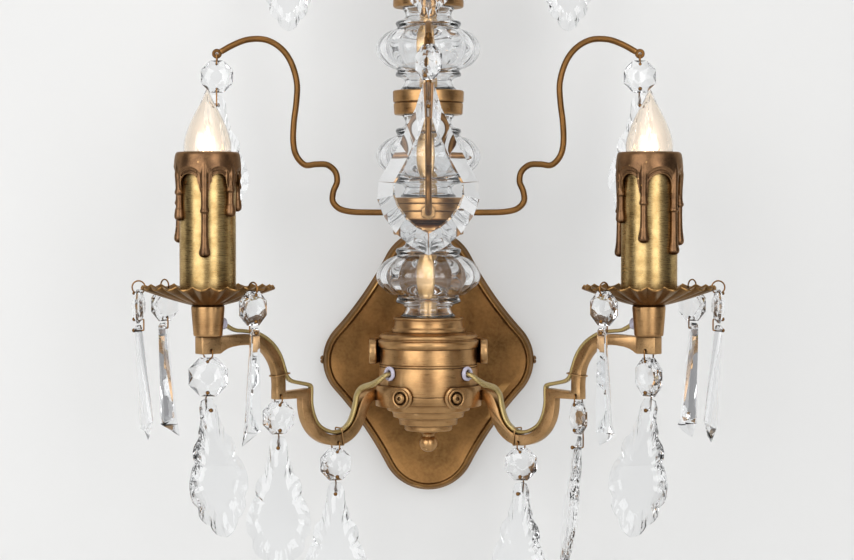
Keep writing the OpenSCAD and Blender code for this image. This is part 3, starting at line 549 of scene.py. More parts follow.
def maths(tree: Tree, operation: str, first: object, second: object = 0.5) -> Socket:
    """Result of one math node."""
    return add(tree, "ShaderNodeMath", {0: first, 1: second}, operation=operation).outputs[0]


@dataclass(frozen=True)
class Recipe:
    """A finish under its material's name."""

    name: str
    output: ClassVar[str] = "Surface"

    def shader(self, tree: Tree) -> Socket:
        """Builds the finish's nodes and gives the last shader's socket."""
        raise NotImplementedError

    def material(self) -> Material:
        """Makes the material of the finish."""
        material = bpy.data.materials.new(self.name)
        material.use_nodes = True
        tree = material.node_tree
        tree.nodes.clear()
        add(tree, "ShaderNodeOutputMaterial", {self.output: self.shader(tree)})
        return material


@dataclass(frozen=True)
class BrassFinish(Recipe):
    """Turned or filed brass, brushed and then chemically aged.

    It gives the eye a satin metal with fine brush lines, cloudy darker patches, recesses darkened by
    ambient occlusion as tarnish and painted shade, and convex edges lightened as worn metal and a
    painted highlight.
    """

    base: str
    bright: str
    dark: str
    roughness: float
    # Distance between brush lines and their length, drawn as coarse as the picture can show
    line_mm: float = 0.5
    line_axis: int = 2
    stretch: float = 24
    streaks: float = 0.12
    cloud_mm: float = 22.0
    # Strength of the darkening in recesses: tarnish and painted shade together
    groove_tarnish_and_shade: float = 0.75
    relief: float = 0.06

    def shader(self, tree: Tree) -> Socket:
        """Builds the metal's nodes."""
        where = add(tree, "ShaderNodeTexCoord").outputs["Object"]
        scale = [1 / (self.stretch * self.line_mm * MM)] * 3
        scale[self.line_axis] = 1 / (self.line_mm * MM)
        brush_at = add(tree, "ShaderNodeMapping", {"Vector": where, "Scale": scale}).outputs["Vector"]
        lines = add(tree, "ShaderNodeTexNoise", {"Vector": brush_at, "Scale": 1.0,
                                                 "Detail": 3.0}).outputs["Fac"]
        cloud = add(tree, "ShaderNodeTexNoise",
                    {"Vector": where, "Scale": 1 / (self.cloud_mm * MM), "Detail": 5.0,
                     "Roughness": 0.62}).outputs["Fac"]
        patch = ramp(tree, cloud, 0.38, 0.66)
        metal = blend(tree, patch, srgb(self.base), srgb(self.dark))
        streak = ramp(tree, lines, 0.35, 0.7, 0.0, self.streaks)
        metal = blend(tree, streak, metal, srgb(self.bright))
        # Painted highlight, partly real wear: convex edges, found by pointiness, are lightened towards the
        # bright colour
        edge = add(tree, "ShaderNodeNewGeometry").outputs["Pointiness"]
        edge_wear_and_highlight = ramp(tree, edge, 0.52, 0.6, 0.0, 0.75)
        metal = blend(tree, edge_wear_and_highlight, metal, srgb(self.bright))
        # Painted shade, partly real tarnish: ambient occlusion darkens recesses towards a dark brown
        occlusion_shade = add(tree, "ShaderNodeAmbientOcclusion", {"Distance": 3.5 * MM}, samples=6).outputs["AO"]
        patina_and_shade = ramp(tree, occlusion_shade, 0.35, 0.92, self.groove_tarnish_and_shade, 0.0)
        metal = blend(tree, patina_and_shade, metal, srgb("#2E1F12"))
        rough = ramp(tree, lines, 0.3, 0.7, self.roughness - 0.05, self.roughness + 0.09)
        relief = add(tree, "ShaderNodeBump", {"Height": lines, "Strength": self.relief,
                                              "Distance": 0.2 * MM}).outputs[0]
        return add(tree, "ShaderNodeBsdfPrincipled",
                   {"Base Color": metal, "Metallic": 1.0, "Roughness": rough,
                    "Specular Tint": srgb("#F2E8DA"),
                    "Normal": relief}).outputs[0]


@dataclass(frozen=True)
class GlassFinish(Recipe):
    """Clear pressed or cut lead glass, fire polished.

    It gives the eye bright facets, thin dark lines where a facet bends the light away, and the
    brass behind it, bent. Light that only casts a shadow passes it almost unweakened.
    """

    tint: str = "#FBFCFD"
    ior: float = 1.54
    roughness: float = 0.0
    shade: str = "#E9ECEE"

    def shader(self, tree: Tree) -> Socket:
        """Builds the glass's nodes."""
        glass = add(tree, "ShaderNodeBsdfPrincipled",
                    {"Base Color": srgb(self.tint), "Roughness": self.roughness, "IOR": self.ior,
                     "Transmission Weight": 1.0}).outputs[0]
        through = add(tree, "ShaderNodeBsdfTransparent", {"Color": srgb(self.shade)}).outputs[0]
        shadow = add(tree, "ShaderNodeLightPath").outputs["Is Shadow Ray"]
        return add(tree, "ShaderNodeMixShader", {0: shadow, 1: glass, 2: through}).outputs[0]


@dataclass(frozen=True)
class PlasticFinish(Recipe):
    """Moulded plastic with a faint moulding grain.

    It gives the eye a soft sheen and, where it is clear, a milky inside.
    """

    base: str
    roughness: float = 0.35
    clear: float = 0.0
    grain_mm: float = 1.5

    def shader(self, tree: Tree) -> Socket:
        """Builds the plastic's nodes."""
        where = add(tree, "ShaderNodeTexCoord").outputs["Object"]
        grain = add(tree, "ShaderNodeTexNoise",
                    {"Vector": where, "Scale": 1 / (self.grain_mm * MM), "Detail": 3.0}).outputs["Fac"]
        tone = ramp(tree, grain, 0.3, 0.7, 0.0, 0.18)
        colour = blend(tree, tone, srgb(self.base), srgb("#8F8878"))
        relief = add(tree, "ShaderNodeBump", {"Height": grain, "Strength": 0.1,
                                              "Distance": 0.1 * MM}).outputs[0]
        return add(tree, "ShaderNodeBsdfPrincipled",
                   {"Base Color": colour, "Roughness": self.roughness, "Transmission Weight": self.clear,
                    "IOR": 1.49, "Normal": relief}).outputs[0]


@dataclass(frozen=True)
class CableFinish(Recipe):
    """Twin copper strand in a clear gold PVC jacket.

    It gives the eye slanting bright and dark threads under a glossy skin.
    """

    bright: str = "#CDB67A"
    dark: str = "#7A6430"
    # Lay of the strands, drawn coarser than the real one so that it shows
    lay_mm: float = 1.6

    def shader(self, tree: Tree) -> Socket:
        """Builds the cable's nodes."""
        flow = add(tree, "ShaderNodeAttribute", attribute_name="flow").outputs["Vector"]
        lay = add(tree, "ShaderNodeMapping", {"Vector": flow,
                                              "Scale": (1 / self.lay_mm,) * 3}).outputs["Vector"]
        strands = add(tree, "ShaderNodeTexWave", {"Vector": lay, "Scale": 0.5, "Distortion": 1.2,
                                                  "Detail": 2.0},
                      bands_direction="DIAGONAL").outputs["Fac"]
        colour = blend(tree, strands, srgb(self.dark), srgb(self.bright))
        relief = add(tree, "ShaderNodeBump", {"Height": strands, "Strength": 0.25,
                                              "Distance": 0.2 * MM}).outputs[0]
        return add(tree, "ShaderNodeBsdfPrincipled",
                   {"Base Color": colour, "Metallic": 0.75, "Roughness": 0.34, "Coat Weight": 0.4,
                    "Coat Roughness": 0.15, "Normal": relief}).outputs[0]


@dataclass(frozen=True)
class GlowFinish(Recipe):
    """The light of a lit lamp inside its glass, as a glowing body without a surface.

    It gives the eye a white heart that fades to a warm haze before it reaches the glass.
    """

    output: ClassVar[str] = "Volume"
    colour: str = "#FFE9D2"
    power: float = 95.0
    # Height of the white heart, and how far the haze reaches aside and up
    heart_z: float = 172.0
    aside_mm: float = 17.5
    up_mm: float = 41.0

    def shader(self, tree: Tree) -> Socket:
        """Builds the glow's nodes, the same about either candle's axis."""
        where = add(tree, "ShaderNodeTexCoord").outputs["Object"]
        split = add(tree, "ShaderNodeSeparateXYZ", {"Vector": where})
        x = maths(tree, "ABSOLUTE", split.outputs[0])
        point = add(tree, "ShaderNodeCombineXYZ", {0: x, 1: split.outputs[1], 2: split.outputs[2]}).outputs[0]
        local = add(tree, "ShaderNodeMapping",
                    {"Vector": point, "Location": (-CANDLE.x * MM, -CANDLE.y * MM,
                                                   -self.heart_z * MM)}).outputs[0]
        aside, up = 1 / (self.aside_mm * MM), 1 / (self.up_mm * MM)
        squashed = add(tree, "ShaderNodeMapping", {"Vector": local, "Scale": (aside, aside, up)}).outputs[0]
        far = add(tree, "ShaderNodeVectorMath", {0: squashed}, operation="LENGTH").outputs["Value"]
        near = ramp(tree, far, 1.0, 0.0)
        fade = maths(tree, "POWER", near, 2.2)
        power = maths(tree, "MULTIPLY", fade, self.power)
        return add(tree, "ShaderNodeEmission", {"Color": srgb(self.colour), "Strength": power}).outputs[0]


@dataclass(frozen=True)
class FilamentFinish(Recipe):
    """Hot tungsten wire: a plain bright light source."""

    colour: str = "#FFD9A8"
    power: float = 30.0

    def shader(self, tree: Tree) -> Socket:
        """Builds the filament's light."""
        return add(tree, "ShaderNodeEmission", {"Color": srgb(self.colour),
                                                 "Strength": self.power}).outputs[0]


@dataclass(frozen=True)
class PaintFinish(Recipe):
    """Pale studio paint: keeps shadows, glows a little for the camera and is clear from behind."""

    paint: str = "#E0E0DF"
    share: float = 0.4

    def shader(self, tree: Tree) -> Socket:
        """Builds the paint's nodes."""
        path = add(tree, "ShaderNodeLightPath").outputs
        seen = maths(tree, "MAXIMUM", path["Is Camera Ray"], path["Is Glossy Ray"])
        seen = maths(tree, "MAXIMUM", seen, path["Is Transmission Ray"])
        part = maths(tree, "MULTIPLY", seen, self.share)
        paint = add(tree, "ShaderNodeBsdfDiffuse", {"Color": srgb(self.paint)}).outputs[0]
        glow = add(tree, "ShaderNodeEmission", {"Color": srgb(self.paint), "Strength": 1.0}).outputs[0]
        front = add(tree, "ShaderNodeMixShader", {0: part, 1: paint, 2: glow}).outputs[0]
        behind = add(tree, "ShaderNodeNewGeometry").outputs["Backfacing"]
        clear = add(tree, "ShaderNodeBsdfTransparent").outputs[0]
        return add(tree, "ShaderNodeMixShader", {0: behind, 1: front, 2: clear}).outputs[0]


def palette() -> dict[Finish, Material]:
    """Builds every finish once."""
    recipes = {
        Finish.PLATE: BrassFinish("aged_brass_pressed_plate", "#87623A", "#C69C62", "#5F4427", 0.33,
                                  line_mm=2.2, stretch=1, cloud_mm=38, groove_tarnish_and_shade=0.8, streaks=0.12, relief=0.05),
        Finish.BODY: BrassFinish("aged_brass_turned", "#B28B5E", "#E2BD8A", "#896541", 0.31),
        Finish.ARM: BrassFinish("aged_brass_cast_arm", "#AA835A", "#DDB684", "#7C5C37", 0.3,
                                line_mm=0.7, stretch=1, streaks=0.1),
        Finish.PAN: BrassFinish("aged_brass_pressed_pan", "#73512F", "#CFA367", "#48321D", 0.3,
                                line_mm=0.6, stretch=1, cloud_mm=14, groove_tarnish_and_shade=0.7),
        Finish.SLEEVE: BrassFinish("aged_brass_sleeve", "#B89D6B", "#E2CD98", "#94794C", 0.28,
                                   line_mm=0.3, cloud_mm=9, streaks=0.06, relief=0.02),
        # Cast wax bronze; like every brass here its edges are lightened as worn metal and a painted highlight
        Finish.DRIP: BrassFinish("bronze_cast_worn_highlit", "#7E5E43", "#CCA26C", "#553E2E", 0.33,
                                 line_mm=0.9, stretch=1, cloud_mm=12, groove_tarnish_and_shade=0.55),
        Finish.WIRE: BrassFinish("bronze_drawn_wire", "#6E4D2A", "#AA7C4A", "#45301B", 0.34,
                                 line_mm=0.8, stretch=1, cloud_mm=18),
        Finish.CRYSTAL: GlassFinish("lead_crystal_cut"),
        Finish.BULB: GlassFinish("soda_glass_blown_bulb", "#FFF8EF", 1.47),
        Finish.CABLE: CableFinish("pvc_gold_twin_cable"),
        Finish.BUSHING: PlasticFinish("nylon_clear_bushing", "#DAD6EA", 0.25, 0.35),
        Finish.HOLDER: PlasticFinish("bakelite_ivory_holder", "#E5DDC8", 0.4),
        Finish.NICKEL: BrassFinish("nickel_plated_base", "#B9B6AF", "#E4E2DC", "#8A8780", 0.25,
                                   line_mm=0.7, groove_tarnish_and_shade=0.5),
        Finish.STEEL: BrassFinish("zinc_plated_steel", "#8E8F90", "#BFC1C3", "#6B6C6E", 0.4,
                                  line_mm=0.8, groove_tarnish_and_shade=0.5),
        Finish.GLOW: GlowFinish("lamp_light"),
        Finish.FILAMENT: FilamentFinish("tungsten_filament_lit"),
    }
    return {finish: recipe.material() for finish, recipe in recipes.items()}


@dataclass
class Piece:
    """A finished mesh, what it rides on, its finish and the nodes it stands for."""

    obj: Obj
    finish: Finish
    nodes: tuple[str, ...]
    body: str


@dataclass
class Assembly:
    """A sub-assembly: it builds its pieces and then dresses them."""

    pieces: list[Piece] = field(default_factory=list, init=False)

    def keep(self, obj: Obj, finish: Finish, *nodes: str, body: str = "fixture",
             smooth: float | None = 35) -> Obj:
        """Takes a finished mesh into the sub-assembly.

        Args:
            obj: The mesh.
            finish: Its finish.
            nodes: The CAD nodes that it stands for.
            body: The body that it moves with.
            smooth: Largest angle that is shaded smooth, or None for flat facets.

        Returns:
            The mesh.
        """
        if smooth is not None:
            only(obj)
            bpy.ops.object.shade_smooth_by_angle(angle=math.radians(smooth))
        self.pieces.append(Piece(obj, finish, nodes, body))
        return obj

    def dress(self, finishes: dict[Finish, Material]) -> None:
        """Gives each piece its material and its body, and hides the CAD nodes that it stands for."""
        for piece in self.pieces:
            piece.obj.data.materials.clear()
            piece.obj.data.materials.append(finishes[piece.finish])
            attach(piece.obj, piece.body)
            if piece.nodes:
                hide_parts(*piece.nodes)
            log.info("%s: %s on %s, %d faces", type(self).__name__, piece.obj.name, piece.body,
                     len(piece.obj.data.polygons))


@dataclass
class WallPlate(Assembly):
    """Dished lozenge plate with a stepped rim and a bead line, and its two side screws."""

    width: float = 178
    height: float = 220
    side_r: float = 38
    top_r: float = 40
    waist_r: float = 300
    sheet: float = 1.6
    # Section of the rim and the panel: distance in from the outline and out from the wall
    section: Profile = ((0, 0), (0, 6.2), (0.4, 7), (1, 7.3), (1.1, 11.8), (1.5, 12.7), (2, 12.9), (2.1, 17),
                        (2.5, 18.4), (3.6, 20.6), (4.6, 21.7), (5.6, 22), (6.4, 21.6), (6.8, 20.8),
                        (7.6, 20.4),
                        (12, 19.7), (18, 19.0), (25, 18.5), (31, DISH), (35, DISH))

    def outline(self, inset: float, out: float) -> list[Vector]:
        """Points of the lozenge, set in from its edge and out from the wall."""
        side = Vector((self.width / 2 - self.side_r, 0))
        top = Vector((0, self.height / 2 - self.top_r))
        a, b, d = self.waist_r + self.side_r, self.waist_r + self.top_r, (top - side).length
        x = (a * a - b * b + d * d) / (2 * d)
        e = (top - side).normalized()
        waist = side + e * x + Vector((e.y, -e.x)) * math.sqrt(a * a - x * x)
        turn_a = math.atan2(waist.y - side.y, waist.x - side.x)
        turn_b = math.atan2(waist.y - top.y, waist.x - top.x)

        def arc(c: Vector, r: float, start: float, end: float, n: int) -> list[Vector]:
            return [c + Vector((math.cos(start + (end - start) * i / n),
                                math.sin(start + (end - start) * i / n))) * r
                    for i in range(n + 1)]
        quarter = (arc(side, self.side_r - inset, 0, turn_a, 12)
                   + arc(waist, self.waist_r + inset, turn_a + math.pi, turn_b + math.pi, 14)[1:]
                   + arc(top, self.top_r - inset, turn_b, math.pi / 2, 14)[1:])
        half = quarter + [Vector((-p.x, p.y)) for p in reversed(quarter[:-1])]
        loop = half + [Vector((p.x, -p.y)) for p in reversed(half[1:-1])]
        return [Vector((p.x, -out, p.y)) for p in loop]

    def build(self) -> None:
        """Models the plate and the screws."""
        section = softened([Vector((a, b)) for a, b in self.section], 0.5)
        plate = lofted("plate_shell", [self.outline(p.x, p.y) for p in section], caps=False)
        with editing(plate) as bm:
            pick(bm, range(len(bm.verts) - len(self.outline(0, 0)), len(bm.verts)))
            bpy.ops.mesh.edge_face_add()
            bpy.ops.mesh.select_all(action="SELECT")
            bpy.ops.mesh.normals_make_consistent(inside=False)
        applied(plate, "SOLIDIFY", thickness=self.sheet * MM, offset=-1, use_even_offset=False)
        self.keep(plate, Finish.PLATE, "backplate", smooth=40)
        heads = []
        for side in Side:
            place = aimed(Vector((side.value * self.width / 2, -3.6, 0)), Vector((side.value, 0, 0)))
            head = turned(f"screw_head_{side.word}", ((0, -9), (2, -9), (2, 0.05), (3.5, 0.05), (3.5, 0.7),
                                                      (2.9, 1.7), (2, 2.25),
                                                      (0, 2.25)), place, 32, 0.2)
            slot = box_piece("slot", place @ shift(0, 0, 2.3), Vector((9, 0.9, 1.8)), 0.05)
            heads.append(carved(head, slot))
        self.keep(joined("plate_screws_slotted", heads), Finish.DRIP, "backplate_screws")


@dataclass
class Body(Assembly):
    """Turned urn with its cover, glass seat, ball finial and the yoke that carries it."""

    bottom: float = -22.8
    top: float = 2.2
    cover: float = 14.2
    seat: float = 27.2
    cone: float = -52.8
    stem_z: float = 8.2

    def build(self) -> None:
        """Models the turned pieces and the yoke."""
        r, d, s, c = BODY_R, self.bottom, 5.4545, self.cone
        self.keep(turned("urn_turned", (
            (0, c), (18.5, c), (19.5, c + 1.2), (19.5, c + 4), (21, c + 4.6), (23.5, c + 5),
            (24, d - 4 * s + 1),
            (25.4, d - 4 * s + 2.4), (28.5, d - 4 * s + 3), (29.3, d - 3 * s + 1), (30.6, d - 3 * s + 2.4),
            (33.6, d - 3 * s + 3), (34.4, d - 2 * s + 1), (35.6, d - 2 * s + 2.6), (38, d - 2 * s + 3.5),
            (39.6, d - s * 0.8), (r, d - 1.6), (r, d - 1.0), (r - 0.9, d - 0.7), (r, d - 0.4),
            (r, self.top - 3),
            (r - 0.9, self.top - 2.6), (r, self.top - 2.2), (r, self.top - 1.2), (r - 0.9, self.top - 0.8),
            (r - 0.5, self.top - 0.3), (r - 0.6, self.cover), (r - 2.5, self.cover), (r - 2.5, d - 6),
            (16, c + 8),
            (0, c + 8)), soft=0.35, steps=128), Finish.BODY, "body_cup")
        z = self.cover
        self.keep(turned("cover_turned", (
            (0, z + 0.05), (r - 0.4, z + 0.05), (r + 0.5, z + 1.1), (r + 1.2, z + 2.7), (r + 1.3, z + 4.6),
            (r + 0.7, z + 6.2),
            (r - 0.6, z + 6.8), (r - 0.9, z + 7.4), (r - 0.2, z + 8.4), (r, z + 9.8), (r - 1, z + 11),
            (r - 3.8, z + 11.9),
            (r - 7, z + 12.3), (r - 9, z + 13), (0, z + 13)), soft=0.5, steps=128), Finish.BODY, "body_cover")
        z = self.seat
        self.keep(turned("glass_seat_turned", (
            (0, z), (29.7, z), (29.7, z + 2.6), (28.7, z + 3.2), (28.1, z + 4.2), (27.7, z + 6.5),
            (27.7, z + 9.8),
            (28.4, z + 10.4), (28.4, z + 11.6), (27.6, z + 12), (0, z + 12)), soft=0.4), Finish.BODY,
            "glass_seat")
        z = self.cone
        dome = [(7.25 * math.sin(math.radians(a)),
                 z - 10.65 + 7.25 * math.cos(math.radians(a))) for a in range(40, 180, 7)]
        self.keep(turned("ball_finial_turned", [(0, z), (9, z), (9, z - 1.2), (6.4, z - 2), (5, z - 3.2),
                                                (4.6, z - 4.8)]
                         + dome + [(0, z - 17.9)], soft=0.25, steps=64), Finish.BODY, "bottom_finial")
        self.keep(self.yoke(), Finish.BODY, "yoke")

    def yoke(self) -> Obj:
        """Models the half ring behind the urn, its two ears, the stem and the stem's nuts."""
        z, inner, thick, high = self.stem_z + 3, BODY_R + 2, 6.0, 20.0
        rings = []
        for i in range(33):
            out = polar(1, 180 * i / 32)
            rings.append([Vector((0, AXIS_Y, z)) + out * (inner + dr) + Vector((0, 0, dz))
                          for dr, dz in ((0, -high / 2), (thick, -high / 2), (thick, high / 2),
                                         (0, high / 2))])
        parts = [bevelled(lofted("strap", rings), 0.8)]
        for side in Side:
            ear = bevelled(cylinder("ear", high / 2, thick, 64), 1.0, 3)
            parts.append(placed(ear, aimed(Vector((side.value * (inner + thick / 2), AXIS_Y, z)),
                                           Vector((1, 0, 0)))))
        stem = aimed(Vector((0, AXIS_Y + BODY_R - 2, self.stem_z)), Vector((0, 1, 0)))
        parts.append(turned("stem", ((3.5, 0), (5, 0), (5, 24.5), (3.5, 24.5)), stem, 32, 0.1, solid=False))
        for y, way in ((-DISH - 0.05, -1), (-DISH + 1.65, 1)):
            parts.append(hex_nut("nut", aimed(Vector((0, y, self.stem_z)), Vector((0, way, 0))), 11, 4))
        return joined("yoke_strap", parts)


@dataclass
class Column(Assembly):
    """Ribbed glass vases on a brass tube, with brass collars between them and a glass top."""

    height: float = 67
    ribs: int = 18
    rib_depth: float = 1.8
    # Angle of one rib's crest; the front rib then lies a little left of the middle
    rib_turn: float = 6
    belly_r: float = 42.5
    ring_r: float = 26.5
    collar_r: float = 28.5
    vase_z: tuple[float, float, float] = (39.2, 136.2, 222.7)
    collar_z: tuple[float, float, float] = (106.2, 203.2, 289.7)
    cap_z: float = 319.7

    def vase(self) -> Obj:
        """Models one vase standing at z = 0: blown thin into a ribbed mould, open at both ends."""
        h, g, b = self.height, self.ring_r, self.belly_r
        outer = flowing((
            (21.6, 0.4), (22.5, 1.2), (21.3, 2.6), (19.6, 0.075 * h), (19, 0.115 * h), (21.4, 0.15 * h),
            (g - 0.7, 0.17 * h),
            (g, 0.205 * h), (g - 1.2, 0.235 * h), (g - 0.4, 0.255 * h), (b - 9, 0.3 * h), (b - 2.6, 0.39 * h),
            (b, 0.5 * h),
            (b - 2.6, 0.61 * h), (b - 9, 0.7 * h), (g - 0.4, 0.745 * h), (g - 1.2, 0.765 * h), (g, 0.795 * h),
            (g - 0.7, 0.83 * h), (21.4, 0.85 * h), (18.6, 0.89 * h), (19, 0.94 * h), (21, 0.985 * h),
            (20.4, h - 0.1)), 3)
        inner = flowing((
            (17.4, h - 0.1), (15.6, 0.92 * h), (16.5, 0.84 * h), (18.5, 0.78 * h), (21.5, 0.725 * h),
            (b - 13, 0.672 * h),
            (b - 6.3, 0.59 * h), (b - 3.6, 0.5 * h), (b - 6.3, 0.41 * h), (b - 13, 0.328 * h),
            (21.5, 0.275 * h),
            (18.5, 0.22 * h), (16.5, 0.16 * h), (15.6, 0.09 * h), (18.4, 0.4)), 3)
        count = self.ribs * 12
        rings = []
        for p, share in [(q, 1.0) for q in outer] + [(q, 0.5) for q in inner]:
            lobe = share * max(0.0, (p.x - self.ring_r) / (b - self.ring_r))
            rings.append([self.rib_point(p, self.rib_turn + 360 * j / count, lobe) for j in range(count)])
        return lofted("vase", rings + [rings[0]], caps=False)

    def rib_point(self, p: Vector, degrees: float, lobe: float) -> Vector:
        """Point of the vase's wall; lobe says how far the ribs stand out there."""
        rib = (degrees - self.rib_turn) * self.ribs / 360
        return polar(p.x - self.rib_depth * lobe * (2 * abs(rib - round(rib))) ** 2, degrees, p.y)

    def tall_collar(self, name: str, z: float) -> Obj:
        """Models the collar that holds three wire arms."""
        r, h = self.collar_r, 30.0
        return turned(name, (
            (0, z), (r - 1, z), (r, z + 0.8), (r, z + 5.6), (r - 0.6, z + 6.4), (r - 2, z + 7.6),
            (r - 5.4, z + 9.2),
            (r - 6.6, z + 10.2), (r - 5.2, z + 10.9), (r - 1, z + 12), (r, z + 12.8), (r, z + 18.4),
            (r - 0.9, z + 18.9),
            (r, z + 19.4), (r, z + 24.6), (r - 0.9, z + 25.1), (r, z + 25.6), (r, z + h - 0.9),
            (r - 1, z + h),
            (0, z + h)), soft=0.35)

    def build(self) -> None:
        """Models the column from the seat to the glass finial."""
        vase = self.vase()
        for name, z in zip(("vase_lower", "vase_middle", "vase_upper"), self.vase_z):
            self.keep(copied(vase, f"{name}_ribbed", shift(0, AXIS_Y, z)), Finish.CRYSTAL, name, smooth=60)
        bpy.data.objects.remove(vase)
        tubes = [turned("tube", ((5.1, z), (7.2, z), (7.2, z + self.height), (5.1, z + self.height)),
                        steps=48, soft=0,
                        solid=False) for z in self.vase_z]
        self.keep(joined("column_tube_drawn", tubes), Finish.BODY, "column_tube")
        for name, z in (("collar_lower", self.collar_z[0]), ("collar_upper", self.collar_z[2])):
            self.keep(self.tall_collar(f"{name}_turned", z), Finish.BODY, name)
        z, h, r = self.collar_z[1], 19.5, self.collar_r
        self.keep(turned("collar_middle_turned", (
            (0, z), (r - 1.5, z), (r - 0.8, z + 0.8), (r - 0.3, z + h / 2 - 0.9), (r - 1.2, z + h / 2 - 0.4),
            (r - 1.2, z + h / 2), (r, z + h / 2 + 0.5), (r + 0.3, z + h - 0.9), (r - 0.5, z + h), (0, z + h)),
            soft=0.35), Finish.BODY, "collar_middle")
        z = self.cap_z
        self.keep(turned("top_cap_turned", (
            (0, z), (r - 3, z), (r - 3, z + 2), (r - 4, z + 3), (r - 6, z + 4.5), (18, z + 6), (14, z + 8),
            (10.4, z + 9.6),
            (9, z + 11), (9, z + 16), (0, z + 16)), soft=0.5), Finish.BODY, "top_cap")
        rings = [[Vector((0, AXIS_Y, 0)) + polar(rr, 45 * j + 22.5, z + 16 + up) for j in range(8)]
                 for rr, up in ((8, 0), (7, 5), (10, 9), (16, 17), (17.5, 24), (15.6, 32), (12, 42),
                                (6.4, 54), (1.2, 66))]
        self.keep(lofted("top_finial_cut", rings), Finish.CRYSTAL, "top_finial", smooth=None)


@dataclass
class Arm(Assembly):
    """One S-shaped bar with its saddle lug, boss, screw, flat cable, ties and bushings."""

    side: Side = Side.RIGHT
    bar: float = 8.5
    reach: float = 158.7
    boss_top: float = 28.5
    lug_turn: float = 30
    lug_z: float = -24
    lug_t: float = 3
    lug_h: float = 17

    def bar_outline(self) -> list[Vector]:
        """Outline of the whole bar in the arm's plane, anticlockwise from the lug's underside."""
        c = self.reach
        bend = flowing((
            (-1, -24), (9, -24), (14, -27), (17.5, -34), (21, -43), (27, -51.5), (35, -56.8), (44, -58.3),
            (54, -56),
            (63, -50), (69, -41), (71.5, -31), (72, -19)), 5)
        arch = flowing((
            (95.5, -20), (95.5, -9), (97.2, 2), (101.5, 11), (108, 18.5), (116.5, 23.5), (126, 25.2),
            (c - 17, 24.5),
            (c - 11, 24.1), (c - 5, 24.1)), 5)

        def edge(route: list[Vector], offset: float) -> list[Vector]:
            return [p + Vector((heading(route, i).y, -heading(route, i).x)) * offset for i,
                    p in enumerate(route)]
        half = self.bar / 2
        lower = [p for p in edge(bend, half) if p.x < 60 or p.y < -23.5]
        upper = [p for p in edge(bend, -half) if p.x < 60 or p.y < -16.2]
        right = [p for p in edge(arch, half) if p.y > -15.8 and p.x < c - 24]
        right += [Vector((c - 20, 20)), Vector((c - 15.5, 18.8)), Vector((c - 12, 17)),
                  Vector((c - 9.6, 15.3)),
                  Vector((c - 5, 15.3))]
        left = [p for p in edge(arch, -half) if p.y > -17]
        return (lower + [Vector((76.25, -23)), Vector((99.75, -23)), Vector((99.75, -16.5))] + right
                + list(reversed(left)) + [Vector((91.25, -17.9)), Vector((88, -17)), Vector((67.75, -15.5))]
                + list(reversed(upper)))

    def build(self) -> None:
        """Models the arm on the right and mirrors it where it is the left one."""
        word = self.side.word
        flip = mirrored(self.side)
        flat = [arm_point(p.x, self.bar / 2, p.y) for p in self.bar_outline()]
        bar = ring_start("bar", flat)
        normal = (arm_point(0, 0, 0) - arm_point(0, 1, 0)).normalized()
        with editing(bar):
            bpy.ops.mesh.select_all(action="SELECT")
            bpy.ops.mesh.edge_face_add()
            bpy.ops.mesh.extrude_region_move(TRANSFORM_OT_translate={"value": normal * self.bar * MM})
        bevelled(cleaned(bar), 0.35)
        boss_place = shift(*CANDLE.xy, self.boss_top - 6.75) @ turn_z(-ARM_TURN)
        boss = box_piece("boss", boss_place, Vector((17, 11, 13.5)), 0.7)
        for part, spots in ((bar, (BEND_HOLE, STEP_HOLE)), (boss, (BOSS_HOLE,))):
            for x, z in spots:
                drilled(part, arm_point(x, 0, z), normal, 30)
        arm = joined(f"arm_bar_{word}", [bar, boss, self.lug()])
        self.keep(placed(arm, flip), Finish.ARM, f"arm_{word}", smooth=30)
        self.keep(placed(self.screw(), flip), Finish.BODY, "arm_screws")
        self.keep(placed(self.cable(), flip), Finish.CABLE, f"cable_{word}", smooth=50)
        ties = [self.tie(38, -57.7, -8), self.tie(96.3, -4, 81)]
        self.keep(placed(joined(f"cable_ties_{word}", ties), flip), Finish.DRIP, "cable_ties")
        self.keep(placed(self.bushings(), flip), Finish.BUSHING, "cable_bushings")

    def lug(self) -> Obj:
        """Models the saddle on the drum: a curved plate with a round end at the screw."""
        rings = []
        r0, r1 = BODY_R + 0.05, BODY_R + self.lug_t
        for i in range(41):
            arc = -8.9 + i * (8.9 + 49) / 40
            half = math.sqrt(max(0.3, 81 - arc * arc)) if arc < 0 else 9.0
            half = min(half, self.lug_h / 2)
            a = math.radians(self.lug_turn) + arc / r1
            out = Vector((math.sin(a), -math.cos(a), 0))
            rings.append([Vector((0, AXIS_Y, self.lug_z)) + out * r + Vector((0, 0, z))
                          for r, z in ((r0, -half), (r1, -half), (r1, half), (r0, half))])
        return bevelled(lofted("lug", rings), 0.5)

    def screw(self) -> Obj:
        """Models the pan head screw in its ring washer."""
        a = math.radians(self.lug_turn)
        head = BODY_R + self.lug_t
        place = aimed(Vector((0, AXIS_Y, self.lug_z)), Vector((math.sin(a), -math.cos(a), 0)))
        washer = turned("washer", ((4.6, head + 0.4), (7, head + 0.4), (7.25, head + 1), (7.25, head + 2.3),
                                   (6.6, head + 2.8),
                                   (5.6, head + 2.6), (5.1, head + 1.4), (4.6, head + 1.1)), place, 64, 0.25,
                                   solid=False)
        screw = turned("screw", ((0, head - 8), (2, head - 8), (2, head + 1), (4.2, head + 1),
                                 (4.25, head + 1.8),
                                 (3.7, head + 3), (2.6, head + 3.7), (0, head + 3.8)), place, 48, 0.3)
        carved(screw, placed(cylinder("key", 1.9, 4, 6), place @ shift(0, 0, head + 4.2)))
        return joined(f"arm_screw_{self.side.word}", [washer, screw])

